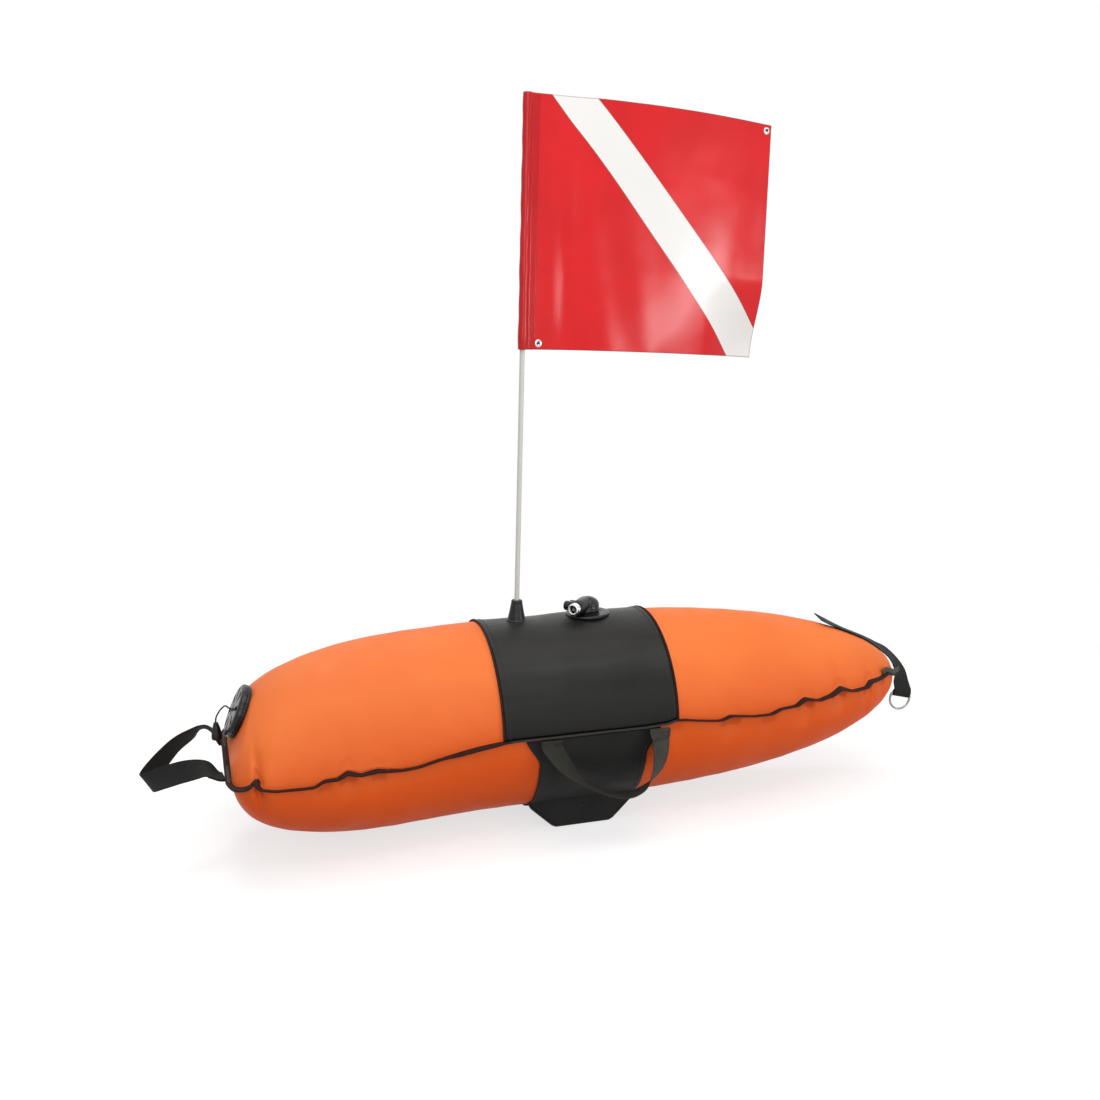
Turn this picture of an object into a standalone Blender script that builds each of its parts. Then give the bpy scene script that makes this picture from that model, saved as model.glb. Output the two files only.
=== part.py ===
"""Inflatable dive flag float: a torpedo-shaped float with a keel pouch, a flag on a mast,
a top inflator, a tail dump valve and webbing handles.

Units are metres. +X points to the nose, +Z up. The origin is the middle of the keel pouch's
flat bottom, so the float stands on z = 0.
"""
import math

import bmesh
import bpy
import numpy as np
from mathutils import Matrix, Vector

COLLECTION_NAME = "dive_flag_float"
MILLIMETRE = 0.001
FIT_GAP = 0.3 * MILLIMETRE          # clearance between pieces that touch
CUT_OVERRUN = 5.0 * MILLIMETRE      # how far a cutter runs past what it cuts

# Float body: two sewn panels, pillow-like at the tail and pointed at the nose
KEEL_DROP = 0.019                   # room between the belly and the keel's flat bottom
BODY_RADIUS = 0.121                 # half the height of a section
BODY_HALF_WIDTH = 0.124             # half the width of a section
BODY_SAG = 0.003                    # the section's middle lies this far below the seam
AXIS_HEIGHT = KEEL_DROP + BODY_RADIUS + BODY_SAG  # seam height over the flat bottom, amidships
TAIL_SHOULDER_X = -0.165            # the tail starts to round off here
TAIL_LENGTH = 0.272
TAIL_TIP_X = TAIL_SHOULDER_X - TAIL_LENGTH
TAIL_EXPONENT = 2.75
TAIL_EXTRA_WIDTH = 0.009            # the tail's seam swells wider than the middle
TAIL_CORNER_RADIUS = 0.050
TAIL_DROP = 0.023                   # seam and middle sink this far at the tail
NOSE_SHOULDER_X = 0.035
NOSE_LENGTH = 0.444
NOSE_TIP_X = NOSE_SHOULDER_X + NOSE_LENGTH
NOSE_EXPONENT = 2.05
NOSE_DROP = 0.006
DROOP_START_X = -0.115              # the tail's droop begins behind the saddle
DROOP_EXPONENT = 1.6
SEAM_FALL_LENGTH = 0.165
NOSE_FALL_START_X = 0.115
NOSE_SAG_LENGTH = 0.300
NOSE_SEAM_FALL_LENGTH = 0.060
COVER_THICKNESS = 1.2 * MILLIMETRE
TAIL_STATIONS = 9
MIDDLE_STATIONS = 3
NOSE_STATIONS = 10
ARC_STEPS = 12                      # steps from seam to seam over one panel

# Seam binding
BINDING_THICKNESS = 2.6 * MILLIMETRE
BINDING_FIN = 8.0 * MILLIMETRE      # how far the fin stands out
BINDING_NOSE_FIN = 5.0 * MILLIMETRE
BINDING_NARROW_SHARE = 0.2          # share of the nose over which the fin narrows
BINDING_ROOT = 3.0 * MILLIMETRE     # how far it reaches in between the panels
BINDING_TAIL_STEPS = 5

# Air bladder inside the covers
BLADDER_GAP = 0.8 * MILLIMETRE
BLADDER_THICKNESS = 0.8 * MILLIMETRE

# Saddle band over the middle
SADDLE_REAR_X = -0.113
SADDLE_FRONT_X = 0.109
SADDLE_THICKNESS = 1.5 * MILLIMETRE
PIPING_RADIUS = 1.4 * MILLIMETRE
PIPING_STEPS = 14

# Keel pouch and its ballast
POUCH_SKIN = 1.8 * MILLIMETRE
POUCH_SEAM_HALF_LENGTH = 0.0875
POUCH_WAIST_HALF_LENGTH = 0.070
POUCH_WAIST_DEPTH = 0.032           # below the seam, where the slanted edge ends
POUCH_BOTTOM_HALF_LENGTH = 0.037
POUCH_BOX_HALF_LENGTH = 0.0725
POUCH_BOX_HALF_WIDTH = 0.070
POUCH_BOX_SLANT_HEIGHT = 0.034
POUCH_BOX_TOP = 0.062
POUCH_WALL = 2.0 * MILLIMETRE
POUCH_EDGE_ROUNDING = 5.0 * MILLIMETRE
POUCH_SLANT_WALL_SHARE = 0.5        # how much of the wall the slanted side takes at the floor
POUCH_LONG_STEPS = 4
WEIGHT_HALF_LENGTH = 0.029
WEIGHT_HALF_WIDTH = 0.052
WEIGHT_HEADROOM = 2.7 * MILLIMETRE  # from the weight up to the belly
WEIGHT_HEIGHT = KEEL_DROP - POUCH_WALL - FIT_GAP - WEIGHT_HEADROOM
WEIGHT_ROUNDING = 2.0 * MILLIMETRE

# Mast, boot and socket
MAST_X = -0.065
MAST_LEAN = 0.046                   # radians towards the nose
MAST_RADIUS = 3.175 * MILLIMETRE
MAST_BORE_GAP = 0.35 * MILLIMETRE
SOCKET_DEPTH = 0.062                # below the saddle's top
SOCKET_WALL = 2.0 * MILLIMETRE
SOCKET_FLOOR = 3.0 * MILLIMETRE
BOOT_BASE_RADIUS = 0.0112
BOOT_TOP_RADIUS = 0.0067
BOOT_HEIGHT = 0.027
BOOT_LIP_HEIGHT = 0.004
BOOT_LIP_EASE_SHARE = 0.3
BOOT_FLANGE_RADIUS = 0.0135
BOOT_FLANGE_HEIGHT = 0.0022
TIP_CAP_WALL = 0.8 * MILLIMETRE
TIP_CAP_LENGTH = 0.012
TIP_CAP_TOP = 1.5 * MILLIMETRE
TIP_CAP_EASE_SHARE = 0.4
MAST_SIDES = 16

# Flag
FLAG_BOTTOM = 0.346                 # along the mast, above the saddle's top
FLAG_HEIGHT = 0.305
FLAG_LENGTH = 0.356
FLAG_THICKNESS = 0.6 * MILLIMETRE
FLAG_TURN = math.radians(9.0)       # how far the rest pose streams away from +X
FLAG_FOLD_DEPTH = 0.007             # the upright fold beside the sleeve
FLAG_FOLD_PLACE = 0.055
FLAG_FOLD_LENGTH = 0.045
FLAG_FOLD_LOW_SHARE = 0.6           # depth of the fold at the bottom edge
FLAG_BULGE = 0.012                  # slow bow of the whole sheet
FLAG_BULGE_LOW_SHARE = 0.7
FLAG_CURL = 0.022                   # the lower fly corner curls back
FLAG_CURL_ALONG_SHARE = 0.28        # the curl's part of the length and of the height
FLAG_CURL_UP_SHARE = 0.35
FLAG_SHRINK = 0.007                 # chord lost to the folds at the fly edge
FLAG_DROOP = 0.010                  # the fly edge hangs this much lower
FLAG_LONG_STEPS = 18
FLAG_TALL_STEPS = 8
SLEEVE_THICKNESS = 0.6 * MILLIMETRE
SLEEVE_GAP = 1.2 * MILLIMETRE       # room round the tip cap inside the sleeve
SLEEVE_HEM = 0.016
SLEEVE_TOP = 1.0 * MILLIMETRE
SLEEVE_TAPER_SHARE = 0.25           # where the hem leaves the sheet and rounds the pole
SLEEVE_LID_OVERLAP_SHARE = 0.4
SLEEVE_LID_INSET_SHARE = 0.2
GROMMET_RADIUS = 0.0048
GROMMET_HOLE_RADIUS = 0.0023
GROMMET_EDGE = 0.0078               # grommet centre from the sheet's edges
GROMMET_HEIGHT = 2.4 * MILLIMETRE
GROMMET_ROLL = 0.3 * MILLIMETRE     # thickness of the rolled rim at its edge
GROMMET_HEM_GAP = 0.8 * MILLIMETRE  # from the sleeve's hem to the lower eyelet
STIFFENER_RADIUS = 1.0 * MILLIMETRE
STIFFENER_OFFSET = 2.8 * MILLIMETRE
STIFFENER_HOOK_SHARE = 0.8          # the rod leaves the eyelet this far of the offset
STIFFENER_POINTS = 14

# Inflator on the saddle
INFLATOR_X = 0.031
INFLATOR_FLANGE_RADIUS = 0.029
INFLATOR_FLANGE_TOP = 0.0026        # over the saddle's crown
INFLATOR_EDGE_SHARE = 0.3
INFLATOR_NECK_RADIUS = 0.0105
INFLATOR_BORE_RADIUS = 0.0075
INFLATOR_NECK_DEPTH = 0.014
INFLATOR_NUT_RADIUS = 0.018
INFLATOR_NUT_HEIGHT = 0.005
INFLATOR_GASKET_RADIUS = 0.0145
INFLATOR_GASKET_HEIGHT = 0.0008
TURRET_RADIUS = 0.0165
TURRET_STRAIGHT = 0.0085
TURRET_DOME = 0.0105
BARREL_RADIUS = 0.0095
BARREL_LENGTH = 0.030               # from the turret's axis
BARREL_CLEARANCE = 0.1 * MILLIMETRE  # its underside over the turret's
BARREL_HEIGHT = BARREL_RADIUS + INFLATOR_GASKET_HEIGHT + 2.0 * FIT_GAP + BARREL_CLEARANCE
BARREL_TURN = math.radians(-136.0)  # barrel direction from +X
NIPPLE_RADIUS = 0.0078
NIPPLE_LENGTH = 0.0085
NIPPLE_BORE_RADIUS = 0.0046
NIPPLE_GROOVE = 0.0013
NIPPLE_STEP_SHARES = (0.35, 0.45, 0.65, 0.75, 0.9)
VALVE_CORE_RADIUS = 0.0018
VALVE_CORE_HEAD_RADIUS = 0.0038
VALVE_CORE_STEP_SHARES = (0.3, 0.4, 0.85)
BUTTON_RADIUS = 0.0065              # the boss's bore
BUTTON_WELL_DEPTH = 0.0040          # the bore's floor below the barrel's side
BUTTON_LENGTH = 0.0080
BUTTON_EASE_SHARE = 0.22
BUTTON_TRAVEL = 0.0020
BUTTON_BOSS_RADIUS = 0.0080
BUTTON_BOSS_LENGTH = 0.0035
BUTTON_END_GAP = 0.5 * MILLIMETRE   # from the boss to the barrel's end
BUTTON_PLACE = BARREL_LENGTH - BUTTON_BOSS_RADIUS - BUTTON_END_GAP

# Dump valve on the tail
DUMP_INSET = 0.020                  # its centre lies this far from the tail's end
DUMP_HEIGHT_SHARE = 0.27273         # of the body's radius, over the seam amidships
DUMP_CENTRE_HEIGHT = DUMP_HEIGHT_SHARE * BODY_RADIUS
DUMP_TILT = math.radians(25.3)      # its axis points this far above -X
DUMP_RADIUS = 0.034
DUMP_GASKET_INNER = 0.0215
DUMP_GASKET_OUTER = 0.031
DUMP_GASKET_HEIGHT = 0.0010
DUMP_BASE_HEIGHT = 0.0034
DUMP_NECK_RADIUS = 0.0200
DUMP_BORE_RADIUS = 0.0165
DUMP_NECK_DEPTH = 0.0135
DUMP_SEAT_HEIGHT = 0.0022
DUMP_SEAT_HOLE = 0.0105
DUMP_NUT_RADIUS = 0.0245
DUMP_NUT_ROOM = 0.00012             # left between the nut's rim and the bladder's bend
DUMP_NUT_HEIGHT = 0.0050
DUMP_COVER_HEIGHT = 0.0072
DUMP_COVER_WALL = 0.0018
DUMP_COVER_ROUNDING = 0.0030
DUMP_COVER_EASE_SHARE = 0.3
DUMP_SLOTS = 8
DUMP_SLOT_WIDTH = 0.0050
DUMP_SLOT_INNER = 0.0125
DUMP_SLOT_OUTER = 0.0285
DUMP_STEM_HOLE = 0.0026
POPPET_RADIUS = 0.0140
POPPET_HEIGHT = 0.0020
POPPET_STEM_RADIUS = 0.0017
POPPET_STEM_OVER = 0.0012           # stem stands this far out of the cover
SEAL_HEIGHT = 0.0012
SEAL_INNER = 0.0112
SPRING_RADIUS = 0.0080
SPRING_WIRE = 0.0006
SPRING_TURNS = 4
SPRING_POINTS_PER_TURN = 10
CORD_RADIUS = 0.0010
TOGGLE_HEIGHT = 0.022
TOGGLE_RADIUS = 0.0066
TOGGLE_NECK_RADIUS = 0.0030
TOGGLE_REACH = 0.0125               # it hangs this far behind the tail's end
TOGGLE_TOP = 0.0240                 # over the seam height amidships
TOGGLE_RADIUS_SHARES = (0.62, 0.86, 1.0, 0.9)
TOGGLE_HEIGHT_SHARES = (0.2, 0.5, 0.85, 1.0)
PULL_START_LENGTH = 0.0040          # the cord leaves the stem straight
PULL_START_RISE = 0.0005
PULL_RISE = 0.020                   # its highest point over the toggle's top
PULL_REACH_SHARES = (0.0, 0.44, 0.88)
PULL_RISE_SHARES = (1.0, 0.8, 0.4)

# Webbing
WEB_WIDTH = 0.027
WEB_SEAM_GAP = 0.6 * MILLIMETRE     # from the fin to a sewn end, so that the loop can swing
WEB_THICKNESS = 1.6 * MILLIMETRE
WEB_STEPS = 3                       # steps between two hand-placed points
TAIL_HANDLE_REACH = 0.093           # how far the loop stands out behind the seam
TAIL_HANDLE_END_Y = 0.062
TAIL_HANDLE_SINK = 0.023            # how far the loop hangs below the seam
TAIL_HANDLE_REACH_SHARES = (
    0.0, 0.0538, 0.129, 0.4946, 0.7957, 1.0, 0.9032, 0.6237, 0.3441, 0.129, 0.0538, 0.0)
TAIL_HANDLE_SIDE_SHARES = (
    -1.0, -1.0, -1.0, -0.7419, -0.3871, -0.0484, 0.2258, 0.4839, 0.7419, 1.0, 1.0, 1.0)
TAIL_HANDLE_RISE_SHARES = (
    0.0, 0.0, 0.0, -0.4348, -0.8261, -1.0, -0.5217, 0.4348, 0.8696, 0.0, 0.0, 0.0)
SIDE_HANDLE_REAR_X = -0.057
SIDE_HANDLE_LENGTH = 0.140          # between its two sewn ends
SIDE_HANDLE_SINK = 0.084            # how far the loop hangs down
SIDE_HANDLE_STAND = 0.005           # how far it stands off below its ends
SIDE_HANDLE_ALONG_SHARES = (
    0.0, 0.0, 0.0071, 0.1143, 0.2857, 0.4714, 0.6714, 0.8429, 0.9571, 1.0071, 1.0, 1.0, 1.0)
SIDE_HANDLE_SINK_SHARES = (
    0.0, 0.0595, 0.119, 0.381, 0.6905, 0.9167, 1.0, 0.9286, 0.6905, 0.3571, 0.119, 0.0595, 0.0)
SIDE_HANDLE_STAND_SHARES = (0.0,) * 3 + (1.0,) * 7 + (0.0,) * 3
NOSE_STRAP_BACK = 0.113             # its raised end lies this far back from the nose's tip
NOSE_STRAP_RISE = 0.0105            # how far that end stands off
NOSE_STRAP_LIFT = 1.0 * MILLIMETRE  # from the cover to the strap where it lies flat
NOSE_STRAP_BACK_SHARES = (1.0, 0.8761, 0.7345, 0.5929, 0.4336, 0.292, 0.1681, 0.0442)
NOSE_STRAP_RISE_SHARES = (1.0, 0.5714, 0.1905, 0.0, 0.0, 0.0762, 0.2561, 0.7625)
NOSE_HANG_REACH_SHARES = (0.2857, 0.7143, 0.9286)
NOSE_HANG_DROP_SHARES = (-0.3889, 0.0556, 0.4444)
RING_HEM_SHARES = (2.0, 1.8, 2.8, 4.0)
RING_WIRE = 0.0016
RING_HALF_WIDTH = 0.0156
RING_DEPTH = 0.0215
RING_REACH = 0.0210                 # its bar hangs this far past the nose's tip
RING_CENTRE_DROP = 0.0360           # and this far below it
RING_SLANT = math.radians(14.7)     # the bar's front end hangs lower
RING_BORE_GAP = 0.4 * MILLIMETRE
RING_ARC_POINTS = 12

ORANGE = (0.85, 0.19, 0.035, 1.0)
BLACK_FABRIC = (0.032, 0.031, 0.029, 1.0)
BLACK_RUBBER = (0.022, 0.022, 0.022, 1.0)
BLACK_PLASTIC = (0.018, 0.018, 0.019, 1.0)
RED_VINYL = (0.62, 0.02, 0.03, 1.0)
MAST_WHITE = (0.66, 0.66, 0.63, 1.0)
STEEL = (0.55, 0.55, 0.54, 1.0)
LEAD_GREY = (0.16, 0.16, 0.17, 1.0)
CLEAR_FILM = (0.72, 0.74, 0.76, 1.0)


def clear_scene():
    """Remove every object that the file starts with."""
    for old in list(bpy.data.objects):
        bpy.data.objects.remove(old, do_unlink=True)


def make_collection(name):
    """A new collection linked to the scene."""
    collection = bpy.data.collections.new(name)
    bpy.context.scene.collection.children.link(collection)
    return collection


clear_scene()
PARTS = make_collection(COLLECTION_NAME)
CUTTERS = make_collection(COLLECTION_NAME + "_cutters")
MATERIALS = {}


def material(name, colour, roughness, metallic=0.0):
    """One Principled material, made once and shared by name."""
    if name not in MATERIALS:
        made = bpy.data.materials.new(name)
        made.use_nodes = True
        shader = made.node_tree.nodes["Principled BSDF"]
        shader.inputs["Base Color"].default_value = colour
        shader.inputs["Roughness"].default_value = roughness
        shader.inputs["Metallic"].default_value = metallic
        MATERIALS[name] = made
    return MATERIALS[name]


def add_part(name, mesh, colour, roughness, metallic=0.0, matrix=None, smooth=True):
    """Link a mesh as one named piece with its own material."""
    piece = bpy.data.objects.new(name, mesh)
    PARTS.objects.link(piece)
    piece.data.materials.append(material(name + "_finish", colour, roughness, metallic))
    if matrix is not None:
        piece.matrix_world = matrix
    if smooth:
        mesh.shade_smooth()
    return piece


def add_cutter(name, mesh, matrix=None):
    """A hidden object that only cuts or joins."""
    cutter = bpy.data.objects.new(name, mesh)
    CUTTERS.objects.link(cutter)
    cutter.hide_render = True
    cutter.display_type = "WIRE"
    if matrix is not None:
        cutter.matrix_world = matrix
    return cutter


def cut(piece, cutter, operation="DIFFERENCE"):
    """Boolean one piece with another object."""
    step = piece.modifiers.new(operation.lower() + "_" + cutter.name, "BOOLEAN")
    step.operation = operation
    step.object = cutter
    step.solver = "EXACT"
    return step


def solidify(piece, thickness, offset):
    """Give an open surface its thickness."""
    step = piece.modifiers.new("thickness", "SOLIDIFY")
    step.thickness = thickness
    step.offset = offset
    step.use_even_offset = True
    return step


def bevel(piece, width, segments=2, angle=math.radians(35.0)):
    """Round the edges sharper than an angle."""
    step = piece.modifiers.new("rounding", "BEVEL")
    step.width = width
    step.segments = segments
    step.limit_method = "ANGLE"
    step.angle_limit = angle
    return step


def smoothstep(value):
    """0 below zero, 1 above one and an even S curve between."""
    share = np.clip(value, 0.0, 1.0)
    return share * share * (3.0 - 2.0 * share)


def axis_frame(origin, direction, x_hint=Vector((1.0, 0.0, 0.0))):
    """A matrix at origin whose local Z is the direction."""
    z_axis = Vector(direction).normalized()
    y_axis = z_axis.cross(x_hint)
    if y_axis.length < MILLIMETRE:
        y_axis = z_axis.cross(Vector((0.0, 1.0, 0.0)))
    y_axis.normalize()
    x_axis = y_axis.cross(z_axis)
    turned = Matrix((x_axis, y_axis, z_axis)).transposed().to_4x4()
    turned.translation = Vector(origin)
    return turned


def along_axis(frame, distance):
    """The frame moved along its own Z."""
    return frame @ Matrix.Translation((0.0, 0.0, distance))


# Primitives as meshes

def cylinder_mesh(name, radius, bottom, top, sides=32, top_radius=None):
    """A capped cylinder or cone between two heights on local Z."""
    bm = bmesh.new()
    bmesh.ops.create_cone(bm, cap_ends=True, segments=sides, radius1=radius,
                          radius2=radius if top_radius is None else top_radius,
                          depth=top - bottom)
    bmesh.ops.translate(bm, verts=bm.verts, vec=(0.0, 0.0, 0.5 * (top + bottom)))
    mesh = bpy.data.meshes.new(name)
    bm.to_mesh(mesh)
    bm.free()
    return mesh


def box_mesh(name, size, centre):
    """A box of a given size about a centre."""
    bm = bmesh.new()
    bmesh.ops.create_cube(bm, size=1.0)
    bmesh.ops.scale(bm, verts=bm.verts, vec=size)
    bmesh.ops.translate(bm, verts=bm.verts, vec=centre)
    mesh = bpy.data.meshes.new(name)
    bm.to_mesh(mesh)
    bm.free()
    return mesh


def turned_mesh(name, profile, sides=32):
    """A closed profile of (radius, height) points turned round local Z."""
    angles = np.linspace(0.0, 2.0 * math.pi, sides, endpoint=False)
    bm = bmesh.new()
    rings = []
    for radius, height in profile:
        rings.append([bm.verts.new((radius * math.cos(a), radius * math.sin(a), height)) for a in angles])
    count = len(profile)
    for ring in range(count):
        following = (ring + 1) % count
        if profile[ring][0] == 0.0 and profile[following][0] == 0.0:
            continue
        for side in range(sides):
            beside = (side + 1) % sides
            bm.faces.new((rings[ring][side], rings[ring][beside],
                          rings[following][beside], rings[following][side]))
    bmesh.ops.remove_doubles(bm, verts=bm.verts, dist=0.01 * MILLIMETRE)
    bmesh.ops.recalc_face_normals(bm, faces=bm.faces)
    mesh = bpy.data.meshes.new(name)
    bm.to_mesh(mesh)
    bm.free()
    return mesh


def ring_mesh(name, inner, outer, bottom, top, sides=32):
    """A flat ring turned from a rectangle."""
    return turned_mesh(name, [(inner, bottom), (outer, bottom), (outer, top), (inner, top)], sides)


def grid_mesh(name, points, closed_rows=False, flip=False):
    """A surface through a grid of points, rows by columns."""
    rows, columns = points.shape[0], points.shape[1]
    bm = bmesh.new()
    verts = [[bm.verts.new(points[r, c]) for c in range(columns)] for r in range(rows)]
    last = rows if closed_rows else rows - 1
    for r in range(last):
        for c in range(columns - 1):
            corners = [verts[r][c], verts[r][c + 1], verts[(r + 1) % rows][c + 1], verts[(r + 1) % rows][c]]
            bm.faces.new(corners[::-1] if flip else corners)
    bmesh.ops.remove_doubles(bm, verts=bm.verts, dist=0.02 * MILLIMETRE)
    mesh = bpy.data.meshes.new(name)
    bm.to_mesh(mesh)
    bm.free()
    return mesh


def loft_mesh(name, sections, closed=False):
    """Join closed sections of equal count with quads, capped at both ends unless closed."""
    count, corners = sections.shape[0], sections.shape[1]
    bm = bmesh.new()
    verts = [[bm.verts.new(point) for point in section] for section in sections]
    last = count if closed else count - 1
    for s in range(last):
        following = (s + 1) % count
        for c in range(corners):
            beside = (c + 1) % corners
            bm.faces.new((verts[s][c], verts[s][beside], verts[following][beside], verts[following][c]))
    if not closed:
        bm.faces.new(verts[0][::-1])
        bm.faces.new(verts[-1])
    bmesh.ops.recalc_face_normals(bm, faces=bm.faces)
    mesh = bpy.data.meshes.new(name)
    bm.to_mesh(mesh)
    bm.free()
    return mesh


def tube_object(name, points, radius, colour, roughness, metallic=0.0, cyclic=False, resolution=3):
    """A wire, cord or piping: a poly curve with a round bevel and filled caps."""
    curve = bpy.data.curves.new(name, "CURVE")
    curve.dimensions = "3D"
    curve.bevel_depth = radius
    curve.bevel_resolution = resolution
    curve.use_fill_caps = not cyclic
    spline = curve.splines.new("POLY")
    spline.points.add(len(points) - 1)
    for slot, point in zip(spline.points, points):
        slot.co = (*point, 1.0)
    spline.use_cyclic_u = cyclic
    wire = bpy.data.objects.new(name, curve)
    PARTS.objects.link(wire)
    curve.materials.append(material(name + "_finish", colour, roughness, metallic))
    return wire


def smooth_path(points, steps):
    """A smooth curve through hand-placed points, with the same number of steps between each two."""
    knots = np.array(points, dtype=float)
    padded = np.vstack([2.0 * knots[0] - knots[1], knots, 2.0 * knots[-1] - knots[-2]])
    share = np.linspace(0.0, 1.0, steps, endpoint=False)[:, None]
    spans = []
    for before, start, end, after in zip(padded, padded[1:], padded[2:], padded[3:]):
        spans.append(0.5 * (2.0 * start + (end - before) * share
                            + (2.0 * before - 5.0 * start + 4.0 * end - after) * share ** 2
                            + (3.0 * start - before - 3.0 * end + after) * share ** 3))
    return np.vstack(spans + [knots[-1:]])


def ribbon_sections(path, across, width, thickness):
    """Rectangular sections along a path; across gives each section's width direction."""
    tangent = np.gradient(path, axis=0)
    tangent /= np.linalg.norm(tangent, axis=1, keepdims=True)
    side = across - np.sum(across * tangent, axis=1, keepdims=True) * tangent
    side /= np.linalg.norm(side, axis=1, keepdims=True)
    normal = np.cross(tangent, side)
    half_side = 0.5 * width * side
    half_normal = 0.5 * thickness * normal
    return np.stack([path - half_side - half_normal, path + half_side - half_normal,
                     path + half_side + half_normal, path - half_side + half_normal], axis=1)


# The body's shape

def superellipse(share, exponent):
    """Height share of a rounded end at a length share from its shoulder."""
    return (1.0 - np.clip(share, 0.0, 1.0) ** exponent) ** (1.0 / exponent)


def body_end_share(x, grow):
    """Height share of the section at x: 1 amidships, 0 at both tips."""
    tail = superellipse((TAIL_SHOULDER_X - x) / (TAIL_LENGTH + grow), TAIL_EXPONENT)
    nose = superellipse((x - NOSE_SHOULDER_X) / (NOSE_LENGTH + grow), NOSE_EXPONENT)
    return np.where(x < TAIL_SHOULDER_X, tail, np.where(x > NOSE_SHOULDER_X, nose, 1.0))


def seam_height(x):
    """Height of the side seam at x."""
    tail = TAIL_DROP * smoothstep((DROOP_START_X - x) / SEAM_FALL_LENGTH)
    nose = NOSE_DROP * smoothstep((x - NOSE_FALL_START_X) / NOSE_SEAM_FALL_LENGTH)
    return AXIS_HEIGHT - tail - nose


def middle_height(x):
    """Height of the section's middle at x."""
    tail_run = DROOP_START_X - TAIL_TIP_X
    tail = (TAIL_DROP - BODY_SAG) * np.clip((DROOP_START_X - x) / tail_run, 0.0, 1.0) ** DROOP_EXPONENT
    nose = (NOSE_DROP - BODY_SAG) * smoothstep((x - NOSE_FALL_START_X) / NOSE_SAG_LENGTH)
    return AXIS_HEIGHT - BODY_SAG - tail - nose


def half_width(x, grow=0.0):
    """Half the plan width of the body at x."""
    wide = BODY_HALF_WIDTH + grow + TAIL_EXTRA_WIDTH * smoothstep((TAIL_SHOULDER_X - x) / (0.5 * TAIL_LENGTH))
    corner = TAIL_CORNER_RADIUS + grow
    past_corner = np.clip(TAIL_TIP_X + TAIL_CORNER_RADIUS - x, 0.0, corner)
    tail = wide - corner + np.sqrt(corner ** 2 - past_corner ** 2)
    past_shoulder = (x - NOSE_SHOULDER_X) / (NOSE_LENGTH + grow)
    nose = (BODY_HALF_WIDTH + grow) * superellipse(past_shoulder, NOSE_EXPONENT)
    return np.where(x < NOSE_SHOULDER_X, tail, nose)


def flatten_for_dump(points, grow):
    """Press the surface flat where the dump valve clamps it."""
    normal = np.array(DUMP_NORMAL)
    origin = np.array(DUMP_ORIGIN) + grow * normal
    past = np.clip((points - origin) @ normal, 0.0, None)
    return points - past[..., None] * normal


def body_point(x, angle, grow=0.0):
    """Surface point at x; angle runs from the near seam over the top and on round the belly."""
    share = body_end_share(x, grow)
    seam = seam_height(x)
    middle = middle_height(x)
    rise = (BODY_RADIUS + grow) * share + (middle - seam) * np.minimum(share * 2.0, 1.0)
    drop = (BODY_RADIUS + grow) * share - (middle - seam) * np.minimum(share * 2.0, 1.0)
    lift = np.sin(angle)
    z = seam + np.where(lift >= 0.0, rise, drop) * lift
    y = -half_width(x, grow) * np.cos(angle)
    return flatten_for_dump(np.stack([x + 0.0 * y, y, z], axis=-1), grow)


def body_stations(grow=0.0, step=1):
    """Places along X, closer together towards the tips; step thins out the nose's."""
    tail_turn = np.linspace(0.0, 0.5 * math.pi, TAIL_STATIONS + 1)
    nose_turn = np.linspace(0.0, 0.5 * math.pi, NOSE_STATIONS + 1)[::step]
    tail = TAIL_SHOULDER_X - (TAIL_LENGTH + grow) * np.sin(tail_turn)[::-1]
    middle = np.linspace(TAIL_SHOULDER_X, NOSE_SHOULDER_X, MIDDLE_STATIONS + 1)[1:-1]
    nose = NOSE_SHOULDER_X + (NOSE_LENGTH + grow) * np.sin(nose_turn)
    return np.concatenate([tail, middle, nose])


def body_surface(stations, angles, grow=0.0):
    """Grid of body points: one row for each station."""
    x, angle = np.meshgrid(stations, angles, indexing="ij")
    return body_point(x, angle, grow)


def closed_body_mesh(name, grow, step=1):
    """The whole body as one closed surface."""
    angles = np.linspace(0.0, 2.0 * math.pi, 2 * ARC_STEPS + 1)
    points = body_surface(body_stations(grow, step), angles, grow)
    mesh = grid_mesh(name, points)
    bm = bmesh.new()
    bm.from_mesh(mesh)
    bmesh.ops.dissolve_degenerate(bm, dist=0.02 * MILLIMETRE, edges=bm.edges)
    bmesh.ops.recalc_face_normals(bm, faces=bm.faces)
    bm.to_mesh(mesh)
    bm.free()
    return mesh


DUMP_ORIGIN = (TAIL_TIP_X + DUMP_INSET, 0.0, AXIS_HEIGHT + DUMP_CENTRE_HEIGHT)
DUMP_NORMAL = (-math.cos(DUMP_TILT), 0.0, math.sin(DUMP_TILT))
DUMP_FRAME = axis_frame(DUMP_ORIGIN, DUMP_NORMAL, Vector((0.0, 1.0, 0.0)))
SADDLE_TOP = AXIS_HEIGHT - BODY_SAG + BODY_RADIUS + FIT_GAP + SADDLE_THICKNESS
MAST_FOOT = (MAST_X, 0.0, SADDLE_TOP)
MAST_AXIS = (math.sin(MAST_LEAN), 0.0, math.cos(MAST_LEAN))
MAST_FRAME = axis_frame(MAST_FOOT, MAST_AXIS)
INFLATOR_FRAME = Matrix.Translation((INFLATOR_X, 0.0, SADDLE_TOP))
SEAM_CLEARANCE = 0.5 * BINDING_THICKNESS + FIT_GAP
SADDLE_GROW = FIT_GAP
SOCKET_RADIUS = MAST_RADIUS + MAST_BORE_GAP + SOCKET_WALL


# Cutters that pieces share

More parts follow.
